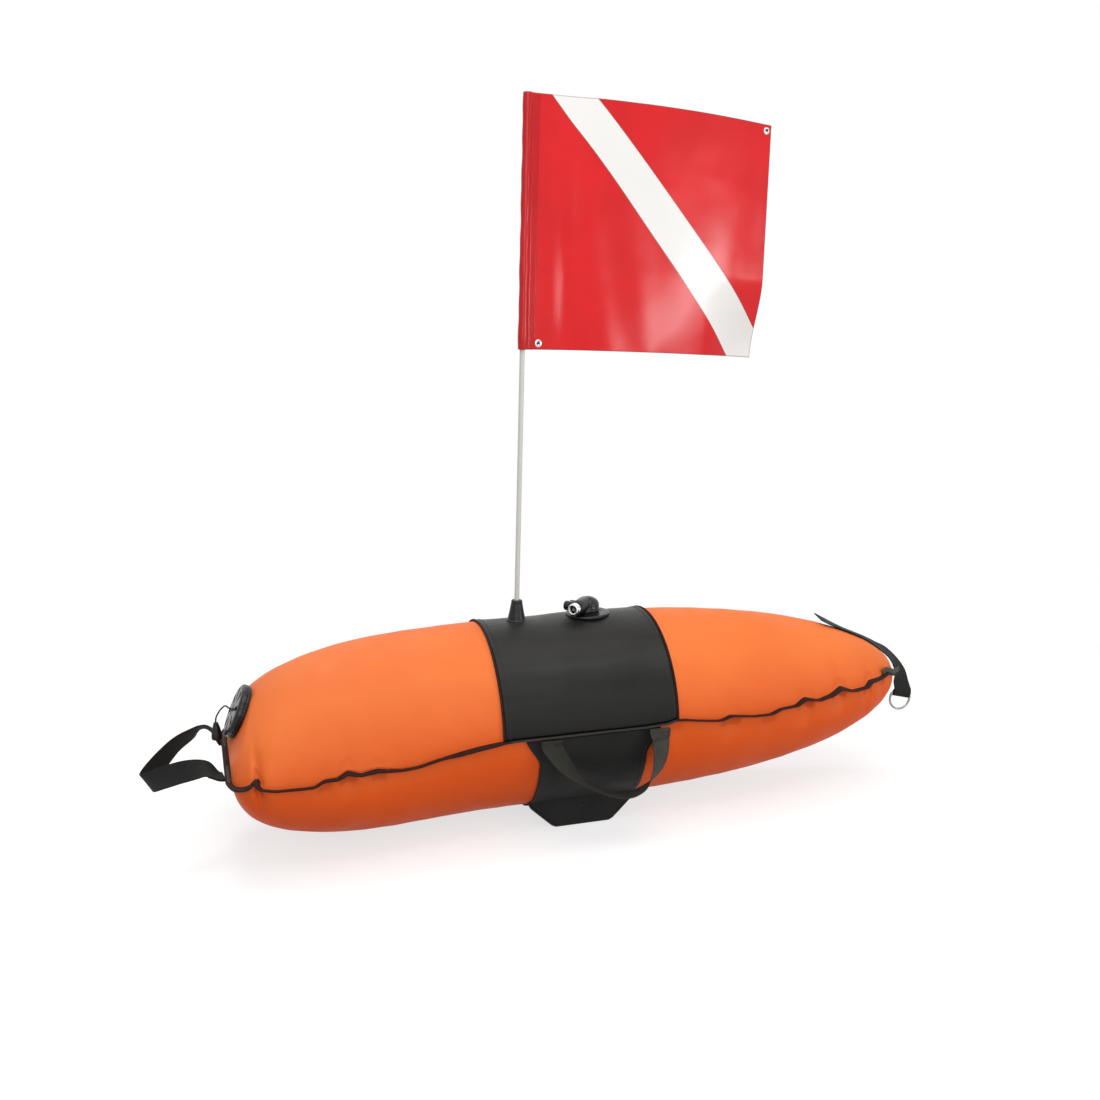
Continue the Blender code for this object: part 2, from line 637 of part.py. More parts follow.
def make_wall_cutters():
    """The three holes through the float's top and tail wall."""
    depth = INFLATOR_NECK_DEPTH + CUT_OVERRUN
    cutters = {
        "mast_hole": add_cutter("mast_hole_cutter", cylinder_mesh(
            "mast_hole", SOCKET_RADIUS + FIT_GAP, -depth, CUT_OVERRUN, MAST_SIDES), MAST_FRAME),
        "inflator_hole": add_cutter("inflator_hole_cutter", cylinder_mesh(
            "inflator_hole", INFLATOR_NECK_RADIUS + FIT_GAP, -depth, CUT_OVERRUN, 24), INFLATOR_FRAME),
        "dump_hole": add_cutter("dump_hole_cutter", cylinder_mesh(
            "dump_hole", DUMP_NECK_RADIUS + FIT_GAP, -depth, CUT_OVERRUN, 32), DUMP_FRAME),
        "seam_slot": add_cutter("seam_slot_cutter", binding_mesh("seam_slot", FIT_GAP)),
    }
    return cutters


# Covers, binding and bladder

def make_cover(name, first_angle, last_angle, holes):
    """One sewn panel of the float, from seam to seam, cut clear of the binding."""
    angles = np.linspace(first_angle, last_angle, ARC_STEPS + 1)
    points = body_surface(body_stations(), angles)
    cover = add_part(name, grid_mesh(name, points, flip=True), ORANGE, 0.5)
    solidify(cover, COVER_THICKNESS, -1.0)
    for hole in holes:
        cut(cover, hole)
    return cover


def binding_outline():
    """Plan outline of the seam as points and outward normals, round the body from the tail."""
    stations = body_stations()
    near = np.stack([stations, -half_width(stations)], axis=1)
    across = np.linspace(1.0, -1.0, BINDING_TAIL_STEPS + 1)[1:-1] * half_width(stations[0])
    tail = np.stack([np.full(len(across), stations[0]), across], axis=1)
    far = near[::-1] * np.array([1.0, -1.0])
    loop = np.vstack([near, far[1:], tail])
    ahead = np.roll(loop, -1, axis=0) - np.roll(loop, 1, axis=0)
    ahead /= np.linalg.norm(ahead, axis=1, keepdims=True)
    outward = np.stack([ahead[:, 1], -ahead[:, 0]], axis=1)
    return loop, outward


def binding_mesh(name, grow):
    """Closed strip along the seam; grow widens it evenly for use as a cutter."""
    loop, outward = binding_outline()
    narrow = BINDING_NARROW_SHARE * NOSE_LENGTH
    nose_share = smoothstep((loop[:, 0] - NOSE_TIP_X + narrow) / narrow)
    fin = BINDING_FIN + grow + (BINDING_NOSE_FIN - BINDING_FIN) * nose_share
    height = seam_height(loop[:, 0])
    inner = loop - (BINDING_ROOT + grow) * outward
    outer = loop + fin[:, None] * outward
    half = 0.5 * BINDING_THICKNESS + grow
    sections = np.stack([
        np.column_stack([inner, height - half]), np.column_stack([outer, height - half]),
        np.column_stack([outer, height + half]), np.column_stack([inner, height + half])], axis=1)
    return loft_mesh(name, sections, closed=True)


def make_binding():
    """The bound edge of both panels, standing out as a fin all round."""
    return add_part("seam_binding", binding_mesh("seam_binding", 0.0), BLACK_FABRIC, 0.7, smooth=False)


def make_bladder(cutters):
    """The airtight bladder inside the covers, open where the fittings pass through."""
    bladder = add_part("air_bladder", closed_body_mesh("air_bladder", -BLADDER_INSET, step=2),
                       CLEAR_FILM, 0.3)
    solidify(bladder, BLADDER_THICKNESS, -1.0)
    for hole in ("mast_hole", "inflator_hole", "dump_hole"):
        cut(bladder, cutters[hole])
    return bladder


BLADDER_INSET = BINDING_ROOT + BLADDER_GAP


# Saddle band

def make_saddle(cutters):
    """Black band over the top of the middle, from seam to seam."""
    inside = [x for x in body_stations() if SADDLE_REAR_X < x < SADDLE_FRONT_X]
    stations = np.array([SADDLE_REAR_X] + inside + [SADDLE_FRONT_X])
    angles = np.linspace(0.0, math.pi, ARC_STEPS + 1)
    points = body_surface(stations, angles, SADDLE_GROW)
    saddle = add_part("saddle_band", grid_mesh("saddle_band", points, flip=True), BLACK_FABRIC, 0.55)
    solidify(saddle, SADDLE_THICKNESS, 1.0)
    for hole in ("mast_hole", "inflator_hole", "seam_slot"):
        cut(saddle, cutters[hole])
    return saddle


def make_piping(name, edge_x, side):
    """Round piping against one edge of the saddle band."""
    centre_x = edge_x + side * (PIPING_RADIUS + FIT_GAP)
    angles = np.linspace(0.0, math.pi, PIPING_STEPS + 1)
    points = body_point(np.full(angles.shape, centre_x), angles, PIPING_RADIUS + 2.0 * FIT_GAP)
    points = points[points[:, 2] > seam_height(centre_x) + PIPING_RADIUS + SEAM_CLEARANCE]
    return tube_object(name, points, PIPING_RADIUS, BLACK_RUBBER, 0.5, resolution=1)


# Keel pouch and ballast

def pouch_half_length(depth):
    """Half the pouch panel's length at a depth below the seam."""
    slant = np.clip(depth / POUCH_WAIST_DEPTH, 0.0, 1.0)
    return POUCH_SEAM_HALF_LENGTH + (POUCH_WAIST_HALF_LENGTH - POUCH_SEAM_HALF_LENGTH) * slant


def box_outline(inset):
    """Side view of the ballast box as (x, z) points, drawn in by an inset."""
    bottom = inset
    corner = POUCH_BOX_SLANT_HEIGHT
    top = POUCH_BOX_TOP
    low = POUCH_BOTTOM_HALF_LENGTH - POUCH_SLANT_WALL_SHARE * inset
    high = POUCH_BOX_HALF_LENGTH - inset
    return [(-low, bottom), (low, bottom), (high, corner), (high, top), (-high, top), (-high, corner)]


def box_prism(name, inset):
    """The ballast box's outline pushed out across the keel."""
    reach = POUCH_BOX_HALF_WIDTH - inset
    sections = np.array([[(x, y, z) for x, z in box_outline(inset)] for y in (-reach, reach)])
    return loft_mesh(name, sections)


def make_pouch(cutters):
    """Black belly panel with the ballast box hanging from it, open to the belly inside."""
    angles = np.linspace(math.pi, 2.0 * math.pi, ARC_STEPS + 1)
    shares = np.linspace(-1.0, 1.0, POUCH_LONG_STEPS + 1)
    depth = -BODY_RADIUS * np.sin(angles)
    x = shares[:, None] * pouch_half_length(depth)[None, :]
    angle = np.broadcast_to(angles, x.shape)
    points = body_point(x, angle, FIT_GAP)
    pouch_mesh = grid_mesh("keel_pouch", points, flip=True)
    pouch = add_part("keel_pouch", pouch_mesh, BLACK_FABRIC, 0.6, smooth=False)
    solidify(pouch, POUCH_SKIN, 1.0)
    box = add_cutter("keel_box_form", box_prism("keel_box_form", 0.0))
    bevel(box, POUCH_EDGE_ROUNDING, 2)
    cavity = add_cutter("keel_box_cavity", box_prism("keel_box_cavity", POUCH_WALL))
    belly = add_cutter("belly_form", closed_body_mesh("belly_form", FIT_GAP + 0.5 * POUCH_SKIN))
    cut(box, belly)
    cut(pouch, box, "UNION")
    cut(pouch, cavity)
    cut(pouch, cutters["seam_slot"])
    return pouch


def make_weight():
    """Flat ballast block lying on the box's floor."""
    size = (2.0 * WEIGHT_HALF_LENGTH, 2.0 * WEIGHT_HALF_WIDTH, WEIGHT_HEIGHT)
    centre = (0.0, 0.0, POUCH_WALL + FIT_GAP + 0.5 * WEIGHT_HEIGHT)
    weight = add_part("keel_weight", box_mesh("keel_weight", size, centre), LEAD_GREY, 0.6, 0.4, smooth=False)
    bevel(weight, WEIGHT_ROUNDING, 2)
    return weight


# Mast

def make_boot_and_socket():
    """Rubber boot on the saddle with the blind socket that holds the mast's foot."""
    bore = MAST_RADIUS + MAST_BORE_GAP
    lip_ease = BOOT_LIP_EASE_SHARE * BOOT_LIP_HEIGHT
    boot_profile = [
        (SOCKET_RADIUS + FIT_GAP, -BOOT_FLANGE_HEIGHT), (BOOT_FLANGE_RADIUS, -BOOT_FLANGE_HEIGHT),
        (BOOT_FLANGE_RADIUS, BOOT_FLANGE_HEIGHT), (BOOT_BASE_RADIUS, BOOT_FLANGE_HEIGHT),
        (BOOT_TOP_RADIUS, BOOT_HEIGHT - BOOT_LIP_HEIGHT), (BOOT_TOP_RADIUS, BOOT_HEIGHT - lip_ease),
        (BOOT_TOP_RADIUS - lip_ease, BOOT_HEIGHT), (bore, BOOT_HEIGHT),
        (bore, 0.5 * BOOT_HEIGHT), (SOCKET_RADIUS + FIT_GAP, 0.5 * BOOT_HEIGHT)]
    boot = add_part("mast_boot", turned_mesh("mast_boot", boot_profile, 24), BLACK_RUBBER, 0.45,
                         matrix=MAST_FRAME)
    crown = add_cutter("saddle_crown_form", closed_body_mesh(
        "saddle_crown_form", 2.0 * FIT_GAP + SADDLE_THICKNESS))
    cut(boot, crown)
    socket_profile = [
        (bore, 0.5 * BOOT_HEIGHT - FIT_GAP), (bore, -SOCKET_DEPTH), (0.0, -SOCKET_DEPTH),
        (0.0, -SOCKET_DEPTH - SOCKET_FLOOR), (SOCKET_RADIUS, -SOCKET_DEPTH - SOCKET_FLOOR),
        (SOCKET_RADIUS, 0.5 * BOOT_HEIGHT - FIT_GAP)]
    add_part("mast_socket", turned_mesh("mast_socket", socket_profile[::-1], MAST_SIDES), BLACK_PLASTIC, 0.4,
             matrix=MAST_FRAME)
    return crown


def make_mast():
    """The pole from the socket's floor to the flag's top, with its tip cap."""
    top = FLAG_BOTTOM + FLAG_HEIGHT - SLEEVE_TOP - FIT_GAP - TIP_CAP_TOP - FIT_GAP
    mast = add_part("flag_mast", cylinder_mesh("flag_mast", MAST_RADIUS, -SOCKET_DEPTH + FIT_GAP, top,
                                               MAST_SIDES), MAST_WHITE, 0.35, matrix=MAST_FRAME)
    inner = MAST_RADIUS + FIT_GAP
    outer = inner + TIP_CAP_WALL
    cap_profile = [(inner, top - TIP_CAP_LENGTH), (outer, top - TIP_CAP_LENGTH),
                   (outer, top + TIP_CAP_TOP * TIP_CAP_EASE_SHARE),
                   (outer - TIP_CAP_WALL, top + FIT_GAP + TIP_CAP_TOP),
                   (0.0, top + FIT_GAP + TIP_CAP_TOP), (0.0, top + FIT_GAP), (inner, top + FIT_GAP)]
    add_part("mast_tip_cap", turned_mesh("mast_tip_cap", cap_profile, MAST_SIDES), BLACK_RUBBER, 0.5,
             matrix=MAST_FRAME)
    return mast


# Flag

def flag_depth(along, up):
    """How far the sheet stands off its flat plane; up is a share of the height."""
    fold = FLAG_FOLD_DEPTH * np.exp(-((along - FLAG_FOLD_PLACE) / (0.5 * FLAG_FOLD_LENGTH)) ** 2)
    fold *= FLAG_FOLD_LOW_SHARE + (1.0 - FLAG_FOLD_LOW_SHARE) * up
    start = smoothstep((along - SLEEVE_HEM) / FLAG_FOLD_PLACE)
    share = along / FLAG_LENGTH
    bow = FLAG_BULGE * np.sin(math.pi * np.clip(share, 0.0, 1.0))
    bow *= FLAG_BULGE_LOW_SHARE + (1.0 - FLAG_BULGE_LOW_SHARE) * up
    curl = FLAG_CURL * smoothstep(1.0 - (1.0 - share) / FLAG_CURL_ALONG_SHARE)
    curl *= smoothstep(1.0 - up / FLAG_CURL_UP_SHARE)
    return start * (fold - bow) + curl


def flag_point(along, up, off=0.0):
    """Point of the sheet in the mast's frame, before it is turned."""
    share = np.clip(along / FLAG_LENGTH, 0.0, 1.0)
    x = along - FLAG_SHRINK * share ** 2
    y = flag_depth(along, up) + off
    z = FLAG_BOTTOM + FLAG_HEIGHT * up - FLAG_DROOP * share ** 2
    return np.stack([x, y, z], axis=-1)


def make_flag():
    """Vinyl sheet with its pole sleeve, two grommets and the diagonal stiffener behind it."""
    frame = MAST_FRAME @ Matrix.Rotation(FLAG_TURN, 4, "Z")
    sleeve_radius = MAST_RADIUS + FIT_GAP + TIP_CAP_WALL + SLEEVE_GAP
    first = sleeve_radius + FIT_GAP
    along = first + (FLAG_LENGTH - first) * np.linspace(0.0, 1.0, FLAG_LONG_STEPS + 1)
    up = np.linspace(0.0, 1.0, FLAG_TALL_STEPS + 1)
    grid_along, grid_up = np.meshgrid(along, up, indexing="ij")
    sheet = add_part("flag_sheet", grid_mesh("flag_sheet", flag_point(grid_along, grid_up)),
                     RED_VINYL, 0.3, matrix=frame)
    solidify(sheet, FLAG_THICKNESS, 0.0)
    make_sleeve(frame, sleeve_radius)
    make_grommets(frame, sheet)
    make_stiffener(frame)
    return sheet


def make_sleeve(frame, radius):
    """The hem folded round the pole, both its tails against the sheet, its top closed."""
    layer = 0.5 * FLAG_THICKNESS + FIT_GAP + 0.5 * SLEEVE_THICKNESS
    start = math.asin(layer / radius)
    turn = np.linspace(start, 2.0 * math.pi - start, 17)
    loop = np.stack([radius * np.cos(turn), radius * np.sin(turn)], axis=1)
    front = [(SLEEVE_HEM, layer), (radius + SLEEVE_TAPER_SHARE * (SLEEVE_HEM - radius), layer)]
    back = [(x, -y) for x, y in front[::-1]]
    outline = np.vstack([front, loop, back])
    heights = (FLAG_BOTTOM, FLAG_BOTTOM + FLAG_HEIGHT)
    points = np.array([[(x, y, z) for z in heights] for x, y in outline])
    sleeve = add_part("flag_sleeve", grid_mesh("flag_sleeve", points), RED_VINYL, 0.3, matrix=frame)
    solidify(sleeve, SLEEVE_THICKNESS, 0.0)
    lid = add_cutter("sleeve_lid", cylinder_mesh(
        "sleeve_lid", radius + SLEEVE_LID_OVERLAP_SHARE * SLEEVE_THICKNESS,
        FLAG_BOTTOM + FLAG_HEIGHT - SLEEVE_TOP,
        FLAG_BOTTOM + FLAG_HEIGHT - SLEEVE_LID_INSET_SHARE * SLEEVE_TOP, 24), frame)
    cut(sleeve, lid, "UNION")
    return sleeve


def grommet_place(corner):
    """Centre of a grommet on the sheet and the sheet's normal there."""
    if corner == "fly_top":
        along, up = FLAG_LENGTH - GROMMET_EDGE, 1.0 - GROMMET_EDGE / FLAG_HEIGHT
    else:
        along, up = SLEEVE_HEM + GROMMET_RADIUS + GROMMET_HEM_GAP, GROMMET_EDGE / FLAG_HEIGHT
    here = flag_point(along, up)
    step = MILLIMETRE
    beside = flag_point(along + step, up) - here
    above = flag_point(along, up + step) - here
    normal = np.cross(above, beside)
    return here, normal / np.linalg.norm(normal)


def make_grommets(frame, sheet):
    """Two pressed metal eyelets, each a spool through a hole in the sheet."""
    waist = 0.5 * FLAG_THICKNESS + FIT_GAP
    half = 0.5 * GROMMET_HEIGHT
    barrel = GROMMET_HOLE_RADIUS + 0.5 * (GROMMET_RADIUS - GROMMET_HOLE_RADIUS)
    profile = [(GROMMET_HOLE_RADIUS, -half), (GROMMET_RADIUS, -waist - GROMMET_ROLL),
               (GROMMET_RADIUS, -waist), (barrel, -waist), (barrel, waist), (GROMMET_RADIUS, waist),
               (GROMMET_RADIUS, waist + GROMMET_ROLL), (GROMMET_HOLE_RADIUS, half)]
    for name, corner in (("grommet_fly_top", "fly_top"), ("grommet_hoist_bottom", "hoist_bottom")):
        centre, normal = grommet_place(corner)
        place = frame @ axis_frame(centre, normal)
        hole = add_cutter(name + "_hole", cylinder_mesh(
            name + "_hole", barrel + FIT_GAP, -CUT_OVERRUN, CUT_OVERRUN, 20), place)
        cut(sheet, hole)
        add_part(name, turned_mesh(name, profile, 20), STEEL, 0.25, 1.0, matrix=place)


def make_stiffener(frame):
    """Thin spring rod behind the sheet from eyelet to eyelet, its tips hooked through them."""
    low, low_normal = grommet_place("hoist_bottom")
    high, high_normal = grommet_place("fly_top")
    low_along = SLEEVE_HEM + GROMMET_RADIUS + GROMMET_HEM_GAP
    share = np.linspace(0.0, 1.0, STIFFENER_POINTS)
    along = low_along + (FLAG_LENGTH - GROMMET_EDGE - low_along) * share
    edge_share = GROMMET_EDGE / FLAG_HEIGHT
    up = edge_share + (1.0 - 2.0 * edge_share) * share
    back = flag_point(along, up, STIFFENER_OFFSET)
    tip_reach = GROMMET_HEIGHT
    hook = STIFFENER_OFFSET * STIFFENER_HOOK_SHARE
    points = [low - low_normal * tip_reach, low, low + low_normal * hook]
    points += list(back[1:-1])
    points += [high + high_normal * hook, high, high - high_normal * tip_reach]
    rod = tube_object("flag_stiffener", points, STIFFENER_RADIUS, BLACK_PLASTIC, 0.4, resolution=1)
    rod.matrix_world = frame
    return rod


# Inflator

def make_inflator(crown):
    """Flange through the saddle, gasket, inner nut and the swivelling turret with its fittings."""
    flange = add_part("inflator_flange", cylinder_mesh(
        "inflator_flange", INFLATOR_FLANGE_RADIUS, -CUT_OVERRUN, INFLATOR_FLANGE_TOP, 32),
        BLACK_PLASTIC, 0.35, matrix=INFLATOR_FRAME)
    bevel(flange, INFLATOR_EDGE_SHARE * INFLATOR_FLANGE_TOP, 1, math.radians(60.0))
    cut(flange, crown)
    neck = add_cutter("inflator_neck_form", cylinder_mesh(
        "inflator_neck_form", INFLATOR_NECK_RADIUS, -INFLATOR_NECK_DEPTH, 0.5 * INFLATOR_FLANGE_TOP, 24),
        INFLATOR_FRAME)
    bore = add_cutter("inflator_bore_form", cylinder_mesh(
        "inflator_bore_form", INFLATOR_BORE_RADIUS, -INFLATOR_NECK_DEPTH - CUT_OVERRUN, CUT_OVERRUN, 20),
        INFLATOR_FRAME)
    cut(flange, neck, "UNION")
    cut(flange, bore)
    nut_drop = INFLATOR_NUT_RADIUS * math.tan(0.5 * math.pi / ARC_STEPS)
    nut_top = -(SADDLE_THICKNESS + FIT_GAP + BLADDER_INSET + BLADDER_THICKNESS + 2.0 * FIT_GAP + nut_drop)
    add_part("inflator_nut", ring_mesh("inflator_nut", INFLATOR_NECK_RADIUS + FIT_GAP, INFLATOR_NUT_RADIUS,
                                       nut_top - INFLATOR_NUT_HEIGHT, nut_top, 24),
             BLACK_PLASTIC, 0.5, matrix=INFLATOR_FRAME, smooth=False)
    gasket_bottom = INFLATOR_FLANGE_TOP + FIT_GAP
    add_part("inflator_gasket", ring_mesh(
        "inflator_gasket", INFLATOR_BORE_RADIUS + FIT_GAP, INFLATOR_GASKET_RADIUS, gasket_bottom,
        gasket_bottom + INFLATOR_GASKET_HEIGHT, 24), BLACK_RUBBER, 0.6, matrix=INFLATOR_FRAME, smooth=False)
    make_turret(gasket_bottom + INFLATOR_GASKET_HEIGHT + FIT_GAP)


def make_turret(bottom):
    """Domed elbow that swivels on the flange, with nipple, core, button and spring."""
    rim = bottom + TURRET_STRAIGHT
    dome = [(TURRET_RADIUS * math.cos(a), rim + TURRET_DOME * math.sin(a))
            for a in np.linspace(0.0, 0.5 * math.pi, 5)]
    turret = add_part("inflator_turret", turned_mesh(
        "inflator_turret", [(0.0, bottom), (TURRET_RADIUS, bottom)] + dome, 24), BLACK_PLASTIC, 0.35,
        matrix=INFLATOR_FRAME)
    barrel_axis = Vector((math.cos(BARREL_TURN), math.sin(BARREL_TURN), 0.0))
    side_axis = Vector((barrel_axis.y, -barrel_axis.x, 0.0))
    origin = Vector((INFLATOR_X, 0.0, SADDLE_TOP + INFLATOR_FLANGE_TOP + BARREL_HEIGHT))
    barrel_frame = axis_frame(origin, barrel_axis, Vector((0.0, 0.0, 1.0)))
    barrel = add_cutter("barrel_form", cylinder_mesh("barrel_form", BARREL_RADIUS, 0.0, BARREL_LENGTH, 24),
                        barrel_frame)
    boss_frame = axis_frame(origin + barrel_axis * BUTTON_PLACE, side_axis, Vector((0.0, 0.0, 1.0)))
    boss = add_cutter("button_boss_form", cylinder_mesh(
        "button_boss_form", BUTTON_BOSS_RADIUS, 0.0, BARREL_RADIUS + BUTTON_BOSS_LENGTH, 20), boss_frame)
    boss_bore = add_cutter("button_bore_form", cylinder_mesh(
        "button_bore_form", BUTTON_RADIUS, BARREL_RADIUS - BUTTON_WELL_DEPTH,
        BARREL_RADIUS + BUTTON_BOSS_LENGTH + CUT_OVERRUN, 20), boss_frame)
    air_way = add_cutter("barrel_bore_form", cylinder_mesh(
        "barrel_bore_form", NIPPLE_BORE_RADIUS, 0.0, BARREL_LENGTH + CUT_OVERRUN, 16), barrel_frame)
    well_top = BARREL_HEIGHT + INFLATOR_FLANGE_TOP
    well_mesh = cylinder_mesh("turret_well_form", INFLATOR_BORE_RADIUS, bottom - CUT_OVERRUN, well_top, 20)
    well = add_cutter("turret_well_form", well_mesh, INFLATOR_FRAME)
    cut(turret, barrel, "UNION")
    cut(turret, boss, "UNION")
    cut(turret, air_way)
    cut(turret, well)
    cut(turret, boss_bore)
    make_nipple(along_axis(barrel_frame, BARREL_LENGTH))
    make_button(along_axis(boss_frame, BARREL_RADIUS))


def make_nipple(frame):
    """Chromed hose nipple with a groove, and the valve core inside it."""
    start = FIT_GAP
    end = start + NIPPLE_LENGTH
    waist = NIPPLE_RADIUS - NIPPLE_GROOVE
    steps = [start + share * NIPPLE_LENGTH for share in NIPPLE_STEP_SHARES]
    profile = [(NIPPLE_BORE_RADIUS, start), (NIPPLE_RADIUS, start), (NIPPLE_RADIUS, steps[0]),
               (waist, steps[1]), (waist, steps[2]), (NIPPLE_RADIUS, steps[3]), (NIPPLE_RADIUS, steps[4]),
               (waist, end), (NIPPLE_BORE_RADIUS, end)]
    add_part("inflator_nipple", turned_mesh("inflator_nipple", profile, 24), STEEL, 0.15, 1.0, matrix=frame)
    head = VALVE_CORE_HEAD_RADIUS
    low, neck, top = [share * NIPPLE_LENGTH for share in VALVE_CORE_STEP_SHARES]
    core_profile = [(0.0, start), (head, start), (head, low), (VALVE_CORE_RADIUS, neck),
                    (VALVE_CORE_RADIUS, top), (0.0, top)]
    add_part("inflator_valve_core", turned_mesh("inflator_valve_core", core_profile, 16), STEEL, 0.3, 1.0,
             matrix=frame)


def make_button(frame):
    """Sprung deflate button in the boss on the barrel's side."""
    radius = BUTTON_RADIUS - FIT_GAP
    head_start = BUTTON_TRAVEL - BUTTON_WELL_DEPTH + 3.0 * FIT_GAP
    end = BUTTON_BOSS_LENGTH + BUTTON_LENGTH
    ease = BUTTON_EASE_SHARE * BUTTON_RADIUS
    profile = [(0.0, head_start), (radius, head_start), (radius, end - ease),
               (radius - ease, end), (0.0, end)]
    add_part("inflator_button", turned_mesh("inflator_button", profile, 20), BLACK_RUBBER, 0.4, matrix=frame)


# Dump valve

def make_dump_valve():
    """Over-pressure valve: gasket, flange, nut, poppet, seal, spring and slotted cover."""
    base = FIT_GAP
    gasket_top = base + DUMP_GASKET_HEIGHT
    add_part("dump_gasket", ring_mesh("dump_gasket", DUMP_GASKET_INNER, DUMP_GASKET_OUTER, base, gasket_top),
             BLACK_RUBBER, 0.6, matrix=DUMP_FRAME, smooth=False)
    plate = gasket_top + FIT_GAP
    plate_top = plate + DUMP_BASE_HEIGHT
    seat_top = -DUMP_NECK_DEPTH + DUMP_SEAT_HEIGHT
    flange_profile = [
        (DUMP_NECK_RADIUS, plate), (DUMP_RADIUS, plate), (DUMP_RADIUS, plate_top),
        (DUMP_BORE_RADIUS, plate_top),
        (DUMP_BORE_RADIUS, seat_top), (DUMP_SEAT_HOLE, seat_top), (DUMP_SEAT_HOLE, -DUMP_NECK_DEPTH),
        (DUMP_NECK_RADIUS, -DUMP_NECK_DEPTH)]
    add_part("dump_flange", turned_mesh("dump_flange", flange_profile, 28), BLACK_PLASTIC, 0.4,
             matrix=DUMP_FRAME, smooth=False)
    rim_bend = DUMP_NUT_RADIUS ** 2 / (2.0 * BODY_RADIUS)
    nut_top = -(BLADDER_INSET + BLADDER_THICKNESS + 2.0 * FIT_GAP + rim_bend + DUMP_NUT_ROOM)
    add_part("dump_nut", ring_mesh("dump_nut", DUMP_NECK_RADIUS + FIT_GAP, DUMP_NUT_RADIUS,
                                   nut_top - DUMP_NUT_HEIGHT, nut_top), BLACK_PLASTIC, 0.5,
             matrix=DUMP_FRAME, smooth=False)
    seal_bottom = seat_top + FIT_GAP
    seal_top = seal_bottom + SEAL_HEIGHT
    add_part("dump_seal", ring_mesh("dump_seal", SEAL_INNER, POPPET_RADIUS, seal_bottom, seal_top, 24),
             BLACK_RUBBER, 0.6, matrix=DUMP_FRAME, smooth=False)
    poppet_bottom = seal_top + FIT_GAP
    poppet_top = poppet_bottom + POPPET_HEIGHT
    cover_bottom = plate_top + FIT_GAP
    cover_top = cover_bottom + DUMP_COVER_HEIGHT
    stem_top = cover_top + POPPET_STEM_OVER
    poppet_profile = [(0.0, poppet_bottom), (POPPET_RADIUS, poppet_bottom), (POPPET_RADIUS, poppet_top),
                      (POPPET_STEM_RADIUS, poppet_top), (POPPET_STEM_RADIUS, stem_top), (0.0, stem_top)]
    add_part("dump_poppet", turned_mesh("dump_poppet", poppet_profile, 24), BLACK_PLASTIC, 0.4,
             matrix=DUMP_FRAME, smooth=False)
    make_dump_cover(cover_bottom, cover_top)
    make_dump_spring(poppet_top, cover_top - DUMP_COVER_WALL)
    return stem_top


def make_dump_cover(bottom, top):
    """Slotted cap over the poppet."""
    inner = DUMP_RADIUS - DUMP_COVER_WALL
    roof = top - DUMP_COVER_WALL
    ease = DUMP_COVER_EASE_SHARE * DUMP_COVER_ROUNDING
    profile = [(inner, bottom), (DUMP_RADIUS, bottom), (DUMP_RADIUS, top - DUMP_COVER_ROUNDING),
               (DUMP_RADIUS - ease, top - ease),
               (DUMP_RADIUS - DUMP_COVER_ROUNDING, top), (DUMP_STEM_HOLE, top), (DUMP_STEM_HOLE, roof),
               (inner, roof)]
    cover = add_part("dump_cover", turned_mesh("dump_cover", profile, 32), BLACK_PLASTIC, 0.3,
                     matrix=DUMP_FRAME, smooth=False)
    length = DUMP_SLOT_OUTER - DUMP_SLOT_INNER
    reach = 0.5 * (DUMP_SLOT_OUTER + DUMP_SLOT_INNER)
    for number in range(DUMP_SLOTS):
        turn = Matrix.Rotation(2.0 * math.pi * (number + 0.5) / DUMP_SLOTS, 4, "Z")
        slot = add_cutter("dump_slot_%d" % number, box_mesh(
            "dump_slot_%d" % number, (length, DUMP_SLOT_WIDTH, DUMP_COVER_HEIGHT), (reach, 0.0, top)),
            DUMP_FRAME @ turn)
        cut(cover, slot)
    return cover


def make_dump_spring(bottom, top):
    """Coil spring from the poppet to the cover's roof."""
    count = SPRING_TURNS * SPRING_POINTS_PER_TURN + 1
    share = np.linspace(0.0, 1.0, count)
    turn = 2.0 * math.pi * SPRING_TURNS * share
    low = bottom + FIT_GAP + SPRING_WIRE
    high = top - FIT_GAP - SPRING_WIRE
    points = np.stack([SPRING_RADIUS * np.cos(turn), SPRING_RADIUS * np.sin(turn),
                       low + (high - low) * share], axis=1)
    spring = tube_object("dump_spring", points, SPRING_WIRE, STEEL, 0.3, 1.0, resolution=1)
    spring.matrix_world = DUMP_FRAME
    return spring


